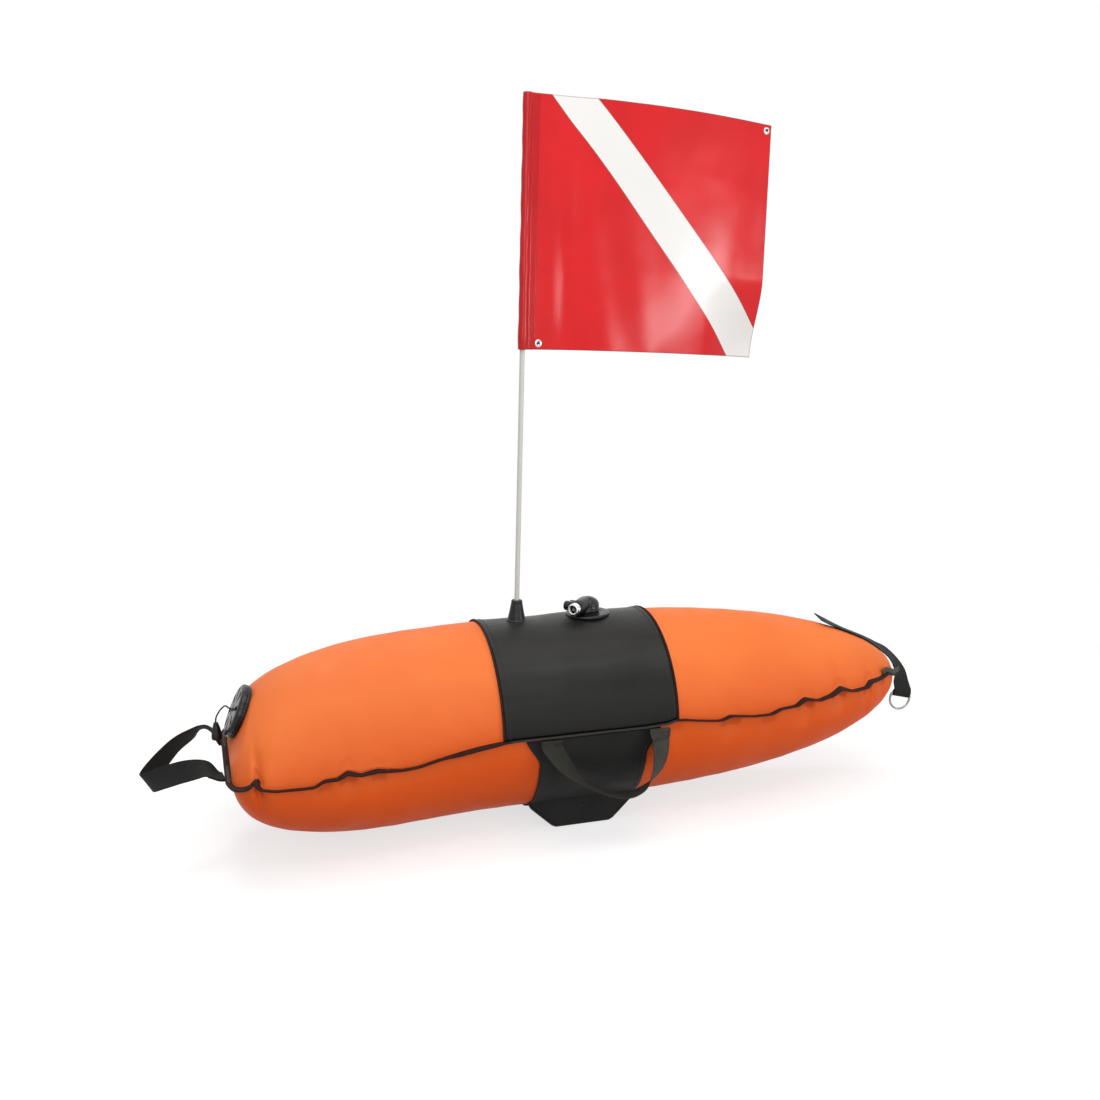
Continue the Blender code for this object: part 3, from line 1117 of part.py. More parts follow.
def make_pull(stem_top):
    """Thin cord from the poppet's stem to the bell-shaped toggle."""
    stem = DUMP_FRAME @ Vector((0.0, 0.0, stem_top + FIT_GAP))
    out = Vector(DUMP_NORMAL)
    toggle_top = Vector((TAIL_TIP_X - TOGGLE_REACH, 0.0, AXIS_HEIGHT + TOGGLE_TOP))
    route = [stem, stem + out * PULL_START_LENGTH + Vector((0.0, 0.0, PULL_START_RISE))]
    for reach, rise in zip(PULL_REACH_SHARES, PULL_RISE_SHARES):
        route.append(Vector((TAIL_TIP_X - reach * TOGGLE_REACH, 0.0, toggle_top.z + rise * PULL_RISE)))
    route += [toggle_top + Vector((0.0, 0.0, FIT_GAP + CORD_RADIUS * 2.0)),
              toggle_top + Vector((0.0, 0.0, FIT_GAP))]
    tube_object("pull_cord", smooth_path([tuple(p) for p in route], WEB_STEPS), CORD_RADIUS, BLACK_FABRIC,
                0.7, resolution=1)
    bell = [(0.0, 0.0), (TOGGLE_NECK_RADIUS, 0.0)]
    for wide, deep in zip(TOGGLE_RADIUS_SHARES, TOGGLE_HEIGHT_SHARES):
        bell.append((wide * TOGGLE_RADIUS, -deep * TOGGLE_HEIGHT))
    bell.append((0.0, -TOGGLE_HEIGHT))
    add_part("pull_toggle", turned_mesh("pull_toggle", bell, 20), BLACK_RUBBER, 0.5,
             matrix=Matrix.Translation(toggle_top))


# Webbing

def make_strap(name, knots, across_knots):
    """A webbing strap through hand-placed points, its width turning as given."""
    path = smooth_path(knots, WEB_STEPS)
    across = smooth_path(across_knots, WEB_STEPS)
    across /= np.linalg.norm(across, axis=1, keepdims=True)
    sections = ribbon_sections(path, across, WEB_WIDTH, WEB_THICKNESS)
    return add_part(name, loft_mesh(name, sections), BLACK_FABRIC, 0.8, smooth=False)


def make_tail_handle():
    """Loop of webbing behind the tail, both ends at the seam's fin."""
    end_x = TAIL_TIP_X - BINDING_FIN - WEB_SEAM_GAP
    level = seam_height(TAIL_TIP_X)
    knots = [(end_x - reach * TAIL_HANDLE_REACH, side * TAIL_HANDLE_END_Y, level + rise * TAIL_HANDLE_SINK)
             for reach, side, rise in zip(TAIL_HANDLE_REACH_SHARES, TAIL_HANDLE_SIDE_SHARES,
                                          TAIL_HANDLE_RISE_SHARES)]
    across = [(0.0, 1.0, 0.0)] * 3 + [
        (0.0, 0.7, 0.7), (0.1, 0.2, 1.0), (0.0, 0.0, 1.0), (-0.1, -0.2, 1.0), (0.0, -0.6, 0.8),
        (0.0, -0.9, 0.4)] + [(0.0, -1.0, 0.0)] * 3
    return make_strap("tail_handle", knots, across)


def make_side_handle():
    """Carry handle hanging in a loop from the near seam beside the keel."""
    y = -(BODY_HALF_WIDTH + BINDING_FIN + WEB_SEAM_GAP + 0.5 * WEB_THICKNESS)
    knots = [(SIDE_HANDLE_REAR_X + along * SIDE_HANDLE_LENGTH, y - stand * SIDE_HANDLE_STAND,
              AXIS_HEIGHT - sink * SIDE_HANDLE_SINK)
             for along, sink, stand in zip(SIDE_HANDLE_ALONG_SHARES, SIDE_HANDLE_SINK_SHARES,
                                           SIDE_HANDLE_STAND_SHARES)]
    across = [(1.0, 0.0, 0.0)] * 3 + [
        (0.5, 0.8, 0.2), (0.05, 1.0, 0.05), (0.0, 1.0, 0.0), (0.0, 1.0, 0.0), (0.0, 1.0, 0.0),
        (0.5, 0.8, -0.1), (0.95, 0.3, 0.0)] + [(1.0, 0.0, 0.0)] * 3
    return make_strap("side_handle", knots, across)


def make_nose_strap():
    """Towing strap along the nose, hanging over the tip down to its ring."""
    lift = 0.5 * WEB_THICKNESS + NOSE_STRAP_LIFT
    knots = []
    for back, rise in zip(NOSE_STRAP_BACK_SHARES, NOSE_STRAP_RISE_SHARES):
        crown = body_point(np.array(NOSE_TIP_X - back * NOSE_STRAP_BACK), np.array(0.5 * math.pi))
        knots.append((float(crown[0]), 0.0, float(crown[2]) + lift + rise * NOSE_STRAP_RISE))
    tip_height = float(seam_height(NOSE_TIP_X))
    for reach, drop in zip(NOSE_HANG_REACH_SHARES, NOSE_HANG_DROP_SHARES):
        knots.append((NOSE_TIP_X + reach * RING_REACH, 0.0, tip_height - drop * RING_CENTRE_DROP))
    across = [(0.0, 1.0, 0.0)] * 7 + [(0.05, 1.0, 0.0), (0.35, 0.94, 0.0), (0.75, 0.66, -0.1),
                                     (0.96, 0.2, -0.2)]
    bar_centre = Vector((NOSE_TIP_X + RING_REACH, 0.0, tip_height - RING_CENTRE_DROP))
    bar_frame = axis_frame(bar_centre, (math.cos(RING_SLANT), 0.0, -math.sin(RING_SLANT)),
                           Vector((0.0, 0.0, 1.0)))
    up = bar_frame.to_3x3() @ Vector((1.0, 0.0, 0.0))
    out = bar_frame.to_3x3() @ Vector((0.0, 1.0, 0.0))
    wrap = RING_WIRE + RING_BORE_GAP + 0.5 * WEB_THICKNESS
    doubled = wrap - WEB_THICKNESS - FIT_GAP
    turn = [(wrap * math.cos(a), -wrap * math.sin(a)) for a in np.linspace(0.0, math.pi, 5)]
    first, behind, over, end = [share * wrap for share in RING_HEM_SHARES]
    hem = [(wrap, first)] + turn + [(0.0, behind), (doubled, over), (doubled, end)]
    for off, rise in hem:
        knots.append(tuple(bar_centre + out * off + up * rise))
        across.append(tuple(bar_frame.to_3x3() @ Vector((0.0, 0.0, 1.0))))
    strap = make_strap("nose_strap", knots, across)
    make_ring(bar_frame)
    return strap


def make_ring(frame):
    """D-shaped ring: straight bar through the strap's hem and a round bow below it."""
    drop = RING_DEPTH - RING_HALF_WIDTH
    bow = [(0.0, 0.0, RING_HALF_WIDTH)]
    for a in np.linspace(0.0, math.pi, RING_ARC_POINTS):
        bow.append((-drop - RING_HALF_WIDTH * math.sin(a), 0.0, RING_HALF_WIDTH * math.cos(a)))
    bow.append((0.0, 0.0, -RING_HALF_WIDTH))
    ring = tube_object("nose_ring", bow, RING_WIRE, STEEL, 0.3, 1.0, cyclic=True, resolution=1)
    ring.matrix_world = frame
    return ring


def build():
    """Make every piece of the float."""
    cutters = make_wall_cutters()
    make_cover("top_cover", 0.0, math.pi, list(cutters.values()))
    make_cover("bottom_cover", math.pi, 2.0 * math.pi, [cutters["seam_slot"]])
    make_binding()
    make_bladder(cutters)
    make_saddle(cutters)
    make_piping("saddle_piping_rear", SADDLE_REAR_X, -1.0)
    make_piping("saddle_piping_front", SADDLE_FRONT_X, 1.0)
    make_pouch(cutters)
    make_weight()
    crown = make_boot_and_socket()
    make_mast()
    make_flag()
    make_inflator(crown)
    stem_top = make_dump_valve()
    make_pull(stem_top)
    make_tail_handle()
    make_side_handle()
    make_nose_strap()


build()
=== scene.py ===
# %% [markdown]
# # A dive flag float
# The float is an inflated, torpedo-shaped bag of coated nylon with a weighted keel, a flag on a thin pole, an
# inflator on top and a dump valve on its tail. This lesson builds each visible piece around the solids of the
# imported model, which give every place and size.

# %% Load the model that the pieces are fitted to
import math

import bmesh
import bpy
import numpy as np
from mathutils import Matrix


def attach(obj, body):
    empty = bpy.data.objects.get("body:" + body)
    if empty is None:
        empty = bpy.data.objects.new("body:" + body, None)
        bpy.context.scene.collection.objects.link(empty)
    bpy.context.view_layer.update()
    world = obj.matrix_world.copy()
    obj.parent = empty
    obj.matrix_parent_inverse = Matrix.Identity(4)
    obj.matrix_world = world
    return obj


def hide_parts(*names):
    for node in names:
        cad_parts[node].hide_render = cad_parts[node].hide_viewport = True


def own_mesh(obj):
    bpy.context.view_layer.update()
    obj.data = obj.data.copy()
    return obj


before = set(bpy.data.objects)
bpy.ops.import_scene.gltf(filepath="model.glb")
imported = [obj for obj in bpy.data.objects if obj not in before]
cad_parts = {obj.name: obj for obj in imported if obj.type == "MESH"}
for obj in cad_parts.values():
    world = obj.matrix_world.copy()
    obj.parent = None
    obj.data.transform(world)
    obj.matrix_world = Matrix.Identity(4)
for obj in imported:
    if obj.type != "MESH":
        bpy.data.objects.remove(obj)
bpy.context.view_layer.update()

# %% [markdown]
# ## Camera
# The photograph looks down at the float from a little to the left of its middle. A camera is a place, three
# turning angles and a lens. Writing the turned axes as the columns of a matrix keeps the angles readable.

# %% Camera
CAMERA_PLACE = (-0.459, -1.579, 0.700)
CAMERA_YAW, CAMERA_PITCH, CAMERA_ROLL = np.radians((15.6, 12.0, -1.06))
SENSOR_WIDTH = 36.0
FOCAL_SHARE = 1300.0 / 1100.0      # focal length over the picture's width


def camera_matrix(place, yaw, pitch, roll):
    """Columns: right, up and backwards; forwards is yaw from +Y and pitch below the horizon."""
    forwards = np.array([math.sin(yaw) * math.cos(pitch), math.cos(yaw) * math.cos(pitch), -math.sin(pitch)])
    level = np.array([math.cos(yaw), -math.sin(yaw), 0.0])
    above = np.cross(level, forwards)
    right = math.cos(roll) * level + math.sin(roll) * above
    up = math.cos(roll) * above - math.sin(roll) * level
    turned = Matrix(np.column_stack([right, up, -forwards]).tolist()).to_4x4()
    turned.translation = place
    return turned


lens = bpy.data.cameras.new("photo_camera")
lens.lens = SENSOR_WIDTH * FOCAL_SHARE
lens.sensor_width = SENSOR_WIDTH
lens.clip_start, lens.clip_end = 0.01, 100.0
camera = bpy.data.objects.new("photo_camera", lens)
camera.matrix_world = camera_matrix(CAMERA_PLACE, CAMERA_YAW, CAMERA_PITCH, CAMERA_ROLL)
bpy.context.scene.collection.objects.link(camera)
bpy.context.scene.camera = camera
print("lens in mm:", round(lens.lens, 2))

# %% [markdown]
# ## Places that pieces share
# Each fitting sits in a frame of its own: an origin on the float and the direction that it points in. The
# numbers repeat those of the solids.

# %% Fitting frames
MM = 0.001
GAP = 0.3 * MM
X_AXIS, Y_AXIS, Z_AXIS = np.eye(3)
AXIS_HEIGHT = 0.143                # the float's axis over the floor
SADDLE_CROWN = 0.2628              # the saddle's top over the floor
MAST_X, INFLATOR_X, DUMP_X, DUMP_RISE = -0.065, 0.031, -0.417, 0.033
MAST_LEAN = 0.046
FLAG_TURN = math.radians(9.0)
DUMP_TILT = math.radians(25.3)
BARREL_TURN = math.radians(-136.0)


def unit(vectors):
    """Vectors over their lengths, along the last axis."""
    vectors = np.asarray(vectors, dtype=float)
    return vectors / np.maximum(np.linalg.norm(vectors, axis=-1, keepdims=True), 1e-12)


def place_frame(origin, direction, hint=(1.0, 0.0, 0.0)):
    """Origin and a matrix with columns x, y, z: z is the direction, y is z cross hint, x is y cross z."""
    z = unit(direction)
    y = unit(np.cross(z, hint))
    return np.array(origin, dtype=float), np.column_stack([np.cross(y, z), y, z])


def moved(points, place):
    """Local points carried into the row frame: origin plus the axes times the coordinates."""
    return place[0] + np.asarray(points) @ place[1].T


def turned_about_z(place, angle):
    """The same frame turned about its own z."""
    c, s = math.cos(angle), math.sin(angle)
    return place[0], place[1] @ np.array([[c, -s, 0.0], [s, c, 0.0], [0.0, 0.0, 1.0]])


MAST = place_frame((MAST_X, 0.0, SADDLE_CROWN), (math.sin(MAST_LEAN), 0.0, math.cos(MAST_LEAN)))
FLAG = turned_about_z(MAST, FLAG_TURN)
INFLATOR = place_frame((INFLATOR_X, 0.0, SADDLE_CROWN), Z_AXIS)
DUMP = place_frame((DUMP_X, 0.0, AXIS_HEIGHT + DUMP_RISE), (-math.cos(DUMP_TILT), 0.0, math.sin(DUMP_TILT)),
                   Y_AXIS)
print("dump valve points to", np.round(DUMP[1][:, 2], 3))

# %% [markdown]
# ## Meshes from arrays
# Nearly every piece is a grid: a function of two parameters gives an array of points, rows by columns, and the
# faces join neighbours. The UV map is stored in metres, so that a weave has the same size on every piece.

# %% Grid helper
def grid_faces(rows, columns, close_rows=False, close_columns=False):
    """Quads between neighbouring points of a grid, as corner numbers; closing joins the last line to the
    first."""
    r = np.arange(rows if close_rows else rows - 1)[:, None]
    c = np.arange(columns if close_columns else columns - 1)[None, :]
    below, beside = (r + 1) % rows, (c + 1) % columns
    corners = [r * columns + c, r * columns + beside, below * columns + beside, below * columns + c]
    return np.stack([np.broadcast_to(k, (r.size, c.size)) for k in corners], axis=-1).reshape(-1, 4)


def pairs(first, second):
    """Two arrays spread over each other: a grid of pairs, such as a UV for each point."""
    return np.stack(np.broadcast_arrays(first, second), axis=-1)


def link_mesh(name, points, faces, uv=None):
    """A smooth-shaded mesh object from points, quads and a UV for each point."""
    mesh = bpy.data.meshes.new(name)
    mesh.from_pydata(points.reshape(-1, 3).tolist(), [], faces.tolist())
    if uv is not None:
        layer = mesh.uv_layers.new(name="metres")
        corner = np.zeros(len(mesh.loops), dtype=np.int32)
        mesh.loops.foreach_get("vertex_index", corner)
        layer.data.foreach_set("uv", uv.reshape(-1, 2)[corner].astype(np.float32).ravel())
    mesh.polygons.foreach_set("use_smooth", np.full(len(mesh.polygons), True))
    mesh.update()
    piece = bpy.data.objects.new(name, mesh)
    bpy.context.scene.collection.objects.link(piece)
    return piece


def grid_piece(name, points, uv, close_rows=False, close_columns=False, flip=False):
    """A grid of points (rows, columns, 3) as an object."""
    faces = grid_faces(points.shape[0], points.shape[1], close_rows, close_columns)
    return link_mesh(name, points, faces[:, ::-1] if flip else faces, uv)


def join_arrays(parts):
    """Several (points, faces, uv) made one, with the corner numbers moved on."""
    starts = np.cumsum([0] + [len(p[0].reshape(-1, 3)) for p in parts[:-1]])
    points = np.vstack([p[0].reshape(-1, 3) for p in parts])
    faces = np.vstack([p[1] + s for p, s in zip(parts, starts)])
    return points, faces, np.vstack([p[2].reshape(-1, 2) for p in parts])


def settle(piece, body, slot, finish, *nodes):
    """Give a piece its finish, its body and the solids that it stands for. The slot argument is not used."""
    piece.data.materials.clear()
    piece.data.materials.append(finish)
    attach(piece, body)
    if nodes:
        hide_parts(*nodes)
    return piece


def thicken(piece, thickness, offset=-1.0):
    """A wall on a surface; offset -1 puts it inside."""
    wall = piece.modifiers.new("wall", "SOLIDIFY")
    wall.thickness, wall.offset, wall.use_even_offset = thickness, offset, True
    return piece


print("a 3 by 4 grid has", len(grid_faces(3, 4)), "faces")

# %% [markdown]
# ## Curves through listed points
# Straps and cords follow a few knots. A Catmull-Rom curve passes through every knot and stays smooth, and here
# all its spans are worked out at once.

# %% Smooth paths and swept profiles
def smooth_path(knots, steps):
    """Catmull-Rom: each span is a cubic of its two ends and their neighbours, sampled at equal shares."""
    k = np.asarray(knots, dtype=float)
    padded = np.vstack([2.0 * k[0] - k[1], k, 2.0 * k[-1] - k[-2]])
    a, b, c, d = padded[:-3, None], padded[1:-2, None], padded[2:-1, None], padded[3:, None]
    t = np.linspace(0.0, 1.0, steps, endpoint=False)[None, :, None]
    spans = 0.5 * (2.0 * b + (c - a) * t + (2.0 * a - 5.0 * b + 4.0 * c - d) * t ** 2
                   + (3.0 * b - a - 3.0 * c + d) * t ** 3)
    return np.vstack([spans.reshape(-1, k.shape[1]), k[-1:]])


def travelled(path):
    """Length along a path at each of its points."""
    return np.concatenate([[0.0], np.cumsum(np.linalg.norm(np.diff(path, axis=0), axis=1))])


def read_at(lengths, run, table):
    """A table's columns read off at some lengths along its run."""
    return np.stack([np.interp(lengths, run, column) for column in table.T], axis=1)


def resampled(path, count):
    """The path at evenly spaced lengths."""
    run = travelled(path)
    return read_at(np.linspace(0.0, run[-1], count), run, path)


def way_ahead(path, close_path=False):
    """Unit direction of travel at each point."""
    if close_path:
        return unit(np.roll(path, -1, axis=0) - np.roll(path, 1, axis=0))
    return unit(np.gradient(path, axis=0))


def squared(side, ahead):
    """Side directions made square to the way ahead."""
    return unit(side - np.sum(side * ahead, axis=1, keepdims=True) * ahead)


def swept_arrays(path, side, profile, close_path=False):
    """A closed 2D profile carried along a path: path + first * side + second * (ahead x side).
    One side direction can serve the whole path. An open sweep closes to a point at both ends. The UV is the way
    round the profile and along the path."""
    ahead = way_ahead(path, close_path)
    side = squared(np.broadcast_to(side, path.shape), ahead)
    normal = np.cross(ahead, side)
    flat = np.asarray(profile)
    points = path[:, None] + flat[None, :, :1] * side[:, None] + flat[None, :, 1:] * normal[:, None]
    run = travelled(path)
    if not close_path:
        points = np.concatenate([np.broadcast_to(path[0], points[:1].shape), points,
                                 np.broadcast_to(path[-1], points[:1].shape)])
        run = np.concatenate([run[:1], run, run[-1:]])
    uv = pairs(travelled(flat)[None, :], run[:, None])
    return points, grid_faces(points.shape[0], points.shape[1], close_path, True), uv


def circle(radius, sides):
    """Points round a circle."""
    turn = np.linspace(0.0, 2.0 * math.pi, sides, endpoint=False)
    return radius * np.stack([np.cos(turn), np.sin(turn)], axis=1)


def rounded_bar(width, thickness, across=14, round_steps=5):
    """Outline of a flat bar with round edges: two straight faces and two half circles."""
    radius = 0.5 * thickness
    flat = 0.5 * width - radius
    turn = np.linspace(-0.5 * math.pi, 0.5 * math.pi, round_steps)
    right = np.stack([flat + radius * np.cos(turn), radius * np.sin(turn)], axis=1)
    top = np.stack([np.linspace(flat, -flat, across)[1:-1], np.full(across - 2, radius)], axis=1)
    return np.vstack([right, top, -right, -top])


def tidy_mesh(piece, turn_outwards=True):
    """Merge doubles; on a closed mesh also turn every face outwards."""
    bm = bmesh.new()
    bm.from_mesh(piece.data)
    bmesh.ops.remove_doubles(bm, verts=bm.verts, dist=0.002 * MM)
    bmesh.ops.dissolve_degenerate(bm, edges=bm.edges, dist=0.001 * MM)
    if turn_outwards:
        bmesh.ops.recalc_face_normals(bm, faces=bm.faces)
    bm.to_mesh(piece.data)
    bm.free()
    return piece


def closed_piece(name, arrays):
    """One closed object from (points, faces, uv)."""
    return tidy_mesh(link_mesh(name, *arrays))


def swept_piece(name, path, side, profile, close_path=False):
    """A swept profile as one closed object."""
    return closed_piece(name, swept_arrays(path, side, profile, close_path))


print("a bar outline has", len(rounded_bar(27 * MM, 1.6 * MM)), "points")

# %% [markdown]
# ## Turned pieces
# Boots, valve bodies and nipples are round. Each is a profile of radius and height turned about its axis. The
# corners of a moulded part are never sharp, so every corner of a profile is first replaced by a small curve.

# %% Lathe helper
def eased(profile, radius, steps=4):
    """Round the corners of an open profile: each becomes a quadratic curve between two points near it."""
    p = np.asarray(profile, dtype=float)
    before, corner, after = p[:-2], p[1:-1], p[2:]
    reach_in = np.minimum(radius, 0.45 * np.linalg.norm(before - corner, axis=1))[:, None]
    reach_out = np.minimum(radius, 0.45 * np.linalg.norm(after - corner, axis=1))[:, None]
    start = corner + unit(before - corner) * reach_in
    end = corner + unit(after - corner) * reach_out
    t = np.linspace(0.0, 1.0, steps)[None, :, None]
    bends = (1 - t) ** 2 * start[:, None] + 2 * t * (1 - t) * corner[:, None] + t ** 2 * end[:, None]
    return np.vstack([p[:1], bends.reshape(-1, 2), p[-1:]])


def lathe_arrays(profile, place, sides=72):
    """Profile turned about the frame's z: (r cos a, r sin a, h) for every angle a."""
    profile = np.asarray(profile, dtype=float)
    turn = np.linspace(0.0, 2.0 * math.pi, sides, endpoint=False)
    r, h = profile[:, :1], profile[:, 1:]
    local = np.stack([r * np.cos(turn), r * np.sin(turn), h + 0.0 * turn], axis=-1)
    uv = pairs(turn[None, :] * profile[:, 0].max(), travelled(profile)[:, None])
    return moved(local, place), grid_faces(len(profile), sides, False, True), uv


def lathe_piece(name, profile, place, sides=72, ease=0.4 * MM):
    """A turned piece with eased corners, closed and facing outwards."""
    return closed_piece(name, lathe_arrays(eased(profile, ease), place, sides))


print("an eased square corner has", len(eased([(0, 0), (1, 0), (1, 1)], 0.1)), "points")

# %% [markdown]
# ## Materials
# A finish is one Principled shader with a few procedural nodes. Patterns read the UV map in metres, so a
# thread that is half a millimetre wide is half a millimetre everywhere. The helpers below keep each recipe
# short: node() adds a node and wires its inputs, calc() adds one sum.

# %% Node helpers
def node(tree, kind, inputs=None, **settings):
    """Add a node; an input is either a value or another node's socket."""
    made = tree.nodes.new(kind)
    for key, value in settings.items():
        setattr(made, key, value)
    for key, value in (inputs or {}).items():
        if isinstance(value, bpy.types.NodeSocket):
            tree.links.new(value, made.inputs[key])
        else:
            made.inputs[key].default_value = value
    return made


def calc(tree, operation, first, second=0.0, third=0.0):
    """One Math node's result."""
    return node(tree, "ShaderNodeMath", {0: first, 1: second, 2: third}, operation=operation).outputs[0]


def new_finish(name, colour, roughness, **sockets):
    """A material with a Principled shader: returns it with its tree and its shader."""
    made = bpy.data.materials.new(name)
    made.use_nodes = True
    shader = made.node_tree.nodes["Principled BSDF"]
    shader.inputs["Base Color"].default_value = (*colour, 1.0)
    shader.inputs["Roughness"].default_value = roughness
    for key, value in sockets.items():
        shader.inputs[key.replace("_", " ")].default_value = value
    return made, made.node_tree, shader


def uv_axes(tree):
    """The two coordinates of the metres map."""
    source = node(tree, "ShaderNodeUVMap", uv_map="metres").outputs[0]
    split = node(tree, "ShaderNodeSeparateXYZ", {0: source})
    return split.outputs[0], split.outputs[1]


def object_noise(tree, scale, detail=3.0, roughness=0.5):
    """Noise in object space, from 0 to 1."""
    where = node(tree, "ShaderNodeTexCoord").outputs["Object"]
    return node(tree, "ShaderNodeTexNoise", {"Vector": where, "Scale": scale, "Detail": detail,
                                             "Roughness": roughness}).outputs[0]


def mixed(tree, share, first, second):
    """Blend two colours by a share."""
    blend = node(tree, "ShaderNodeMix", data_type="RGBA")
    tree.links.new(share, blend.inputs[0])
    for slot, value in ((6, first), (7, second)):
        if isinstance(value, bpy.types.NodeSocket):
            tree.links.new(value, blend.inputs[slot])
        else:
            blend.inputs[slot].default_value = (*value, 1.0)
    return blend.outputs[2]


def stretched(tree, value, low, high, new_low=0.0, new_high=1.0):
    """Map a range onto another, clamped."""
    return node(tree, "ShaderNodeMapRange", {0: value, 1: low, 2: high, 3: new_low, 4: new_high}).outputs[0]


def bumped(tree, shader, *layers):
    """Stack bump layers, each a (height socket, distance in metres) pair, onto the shader's normal."""
    normal = None
    for height, distance in layers:
        step = node(tree, "ShaderNodeBump", {"Height": height, "Distance": distance, "Strength": 1.0})
        if normal is not None:
            tree.links.new(normal, step.inputs["Normal"])
        normal = step.outputs[0]
    tree.links.new(normal, shader.inputs["Normal"])


def threads(tree, pitch_u, pitch_v):
    """Plain weave height: sine along u times sine along v, one thread for each pitch."""
    u, v = uv_axes(tree)
    across = calc(tree, "SINE", calc(tree, "MULTIPLY", u, math.pi / pitch_u))
    along = calc(tree, "SINE", calc(tree, "MULTIPLY", v, math.pi / pitch_v))
    return calc(tree, "MULTIPLY_ADD", calc(tree, "MULTIPLY", across, along), 0.5, 0.5)


print("node helpers ready")

# %% [markdown]
# ## Coated cloth
# The float's cover is nylon with a rubbery coat: bright orange, evenly dull, with a faint weave and a little
# uneven colour where it was handled. Painted shade darkens the weave's valleys, cloth that faces down and cloth
# in a pucker. The saddle and the keel pouch are heavier black cloth of the same kind; the saddle has faint
# darker bands along it, painted shade of soft folds.

# %% Coated cloth finishes
def coated_cloth(name, light, dark, shaded, roughness, pitch, weave_depth, crease_depth, streak=0.0, **sockets):
    """Two tones mixed by broad noise, with painted shade where the cloth faces down, in the weave's valleys, in
    puckers and, where streak is set, in soft bands.
    """
    made, tree, shader = new_finish(name, light, roughness, **sockets)
    broad = stretched(tree, object_noise(tree, 7.0), 0.35, 0.65)
    fine = object_noise(tree, 420.0, 2.0)
    weave = threads(tree, pitch, pitch)
    facing = node(tree, "ShaderNodeSeparateXYZ", {0: node(tree, "ShaderNodeNewGeometry").outputs["Normal"]})
    # Painted shade: cloth that faces down takes the shaded colour.
    paler_blend = stretched(tree, facing.outputs[2], -0.25, 0.70)
    tone = mixed(tree, paler_blend, shaded, mixed(tree, broad, light, dark))
    # Painted shade in the weave's valleys.
    tone = mixed(tree, stretched(tree, weave, 0.0, 0.5, 0.16, 0.0), tone, tuple(0.55 * c for c in dark))
    # Painted shade of soft folds: darker bands along the saddle, towards the shaded colour.
    if streak:
        u, v = uv_axes(tree)
        drawn_out = node(tree, "ShaderNodeCombineXYZ", {0: calc(tree, "MULTIPLY", u, 2.4),
                                                        1: calc(tree, "MULTIPLY", v, 24.0)})
        bands = node(tree, "ShaderNodeTexNoise", {"Vector": drawn_out.outputs[0], "Scale": 1.0, "Detail": 2.0})
        tone = mixed(tree, stretched(tree, bands.outputs[0], 0.38, 0.62, 0.0, streak), tone, shaded)
    # Painted shade in the puckers under the seam's crests.
    drawn = node(tree, "ShaderNodeAttribute", attribute_name="painted_pocket_shade").outputs["Fac"]
    tone = mixed(tree, calc(tree, "MULTIPLY", drawn, 0.8), tone, tuple(0.66 * c for c in shaded))
    tree.links.new(tone, shader.inputs["Base Color"])
    worn = stretched(tree, object_noise(tree, 24.0, 4.0), 0.3, 0.7, roughness - 0.06, roughness + 0.07)
    tree.links.new(worn, shader.inputs["Roughness"])
    crease = object_noise(tree, 30.0, 4.0, 0.6)
    bumped(tree, shader, (crease, crease_depth), (weave, weave_depth), (fine, 0.04 * MM))
    return made


# The third colour of each cloth is painted shade, for cloth that faces down, in puckers and in the saddle's
# bands.
ORANGE_CLOTH = coated_cloth("orange_coated_cloth", (0.89, 0.205, 0.046), (0.83, 0.175, 0.036),
                            (0.84, 0.105, 0.011), 0.56, 0.55 * MM, 0.05 * MM, 0.7 * MM,
                            Specular_IOR_Level=0.18)
BLACK_CLOTH = coated_cloth("black_coated_cloth", (0.025, 0.0245, 0.0225), (0.018, 0.0175, 0.016),
                           (0.0045, 0.0042, 0.0038), 0.37, 0.70 * MM, 0.07 * MM, 0.9 * MM, 0.55,
                           Specular_IOR_Level=0.17)
POUCH_CLOTH = coated_cloth("keel_pouch_cloth", (0.015, 0.0145, 0.0135), (0.010, 0.0095, 0.009),
                           (0.011, 0.0105, 0.010), 0.62, 0.90 * MM, 0.12 * MM, 1.2 * MM,
                           Specular_IOR_Level=0.18)
print("cloth finishes:", ORANGE_CLOTH.name, BLACK_CLOTH.name, POUCH_CLOTH.name)

# %% [markdown]
# ## Webbing, tape, cord and thread
# Webbing is woven in a chevron: slanting ribs that meet at the strap's middle. Grosgrain tape has plain ribs
# across it. Both patterns are sums of the two UV coordinates, and both have painted shade between their ribs.

# %% Narrow weaves
PLAIN_TAPE, PLAIN_GAPS = (0.046, 0.046, 0.043), (0.024, 0.024, 0.022)      # tape that shows no red


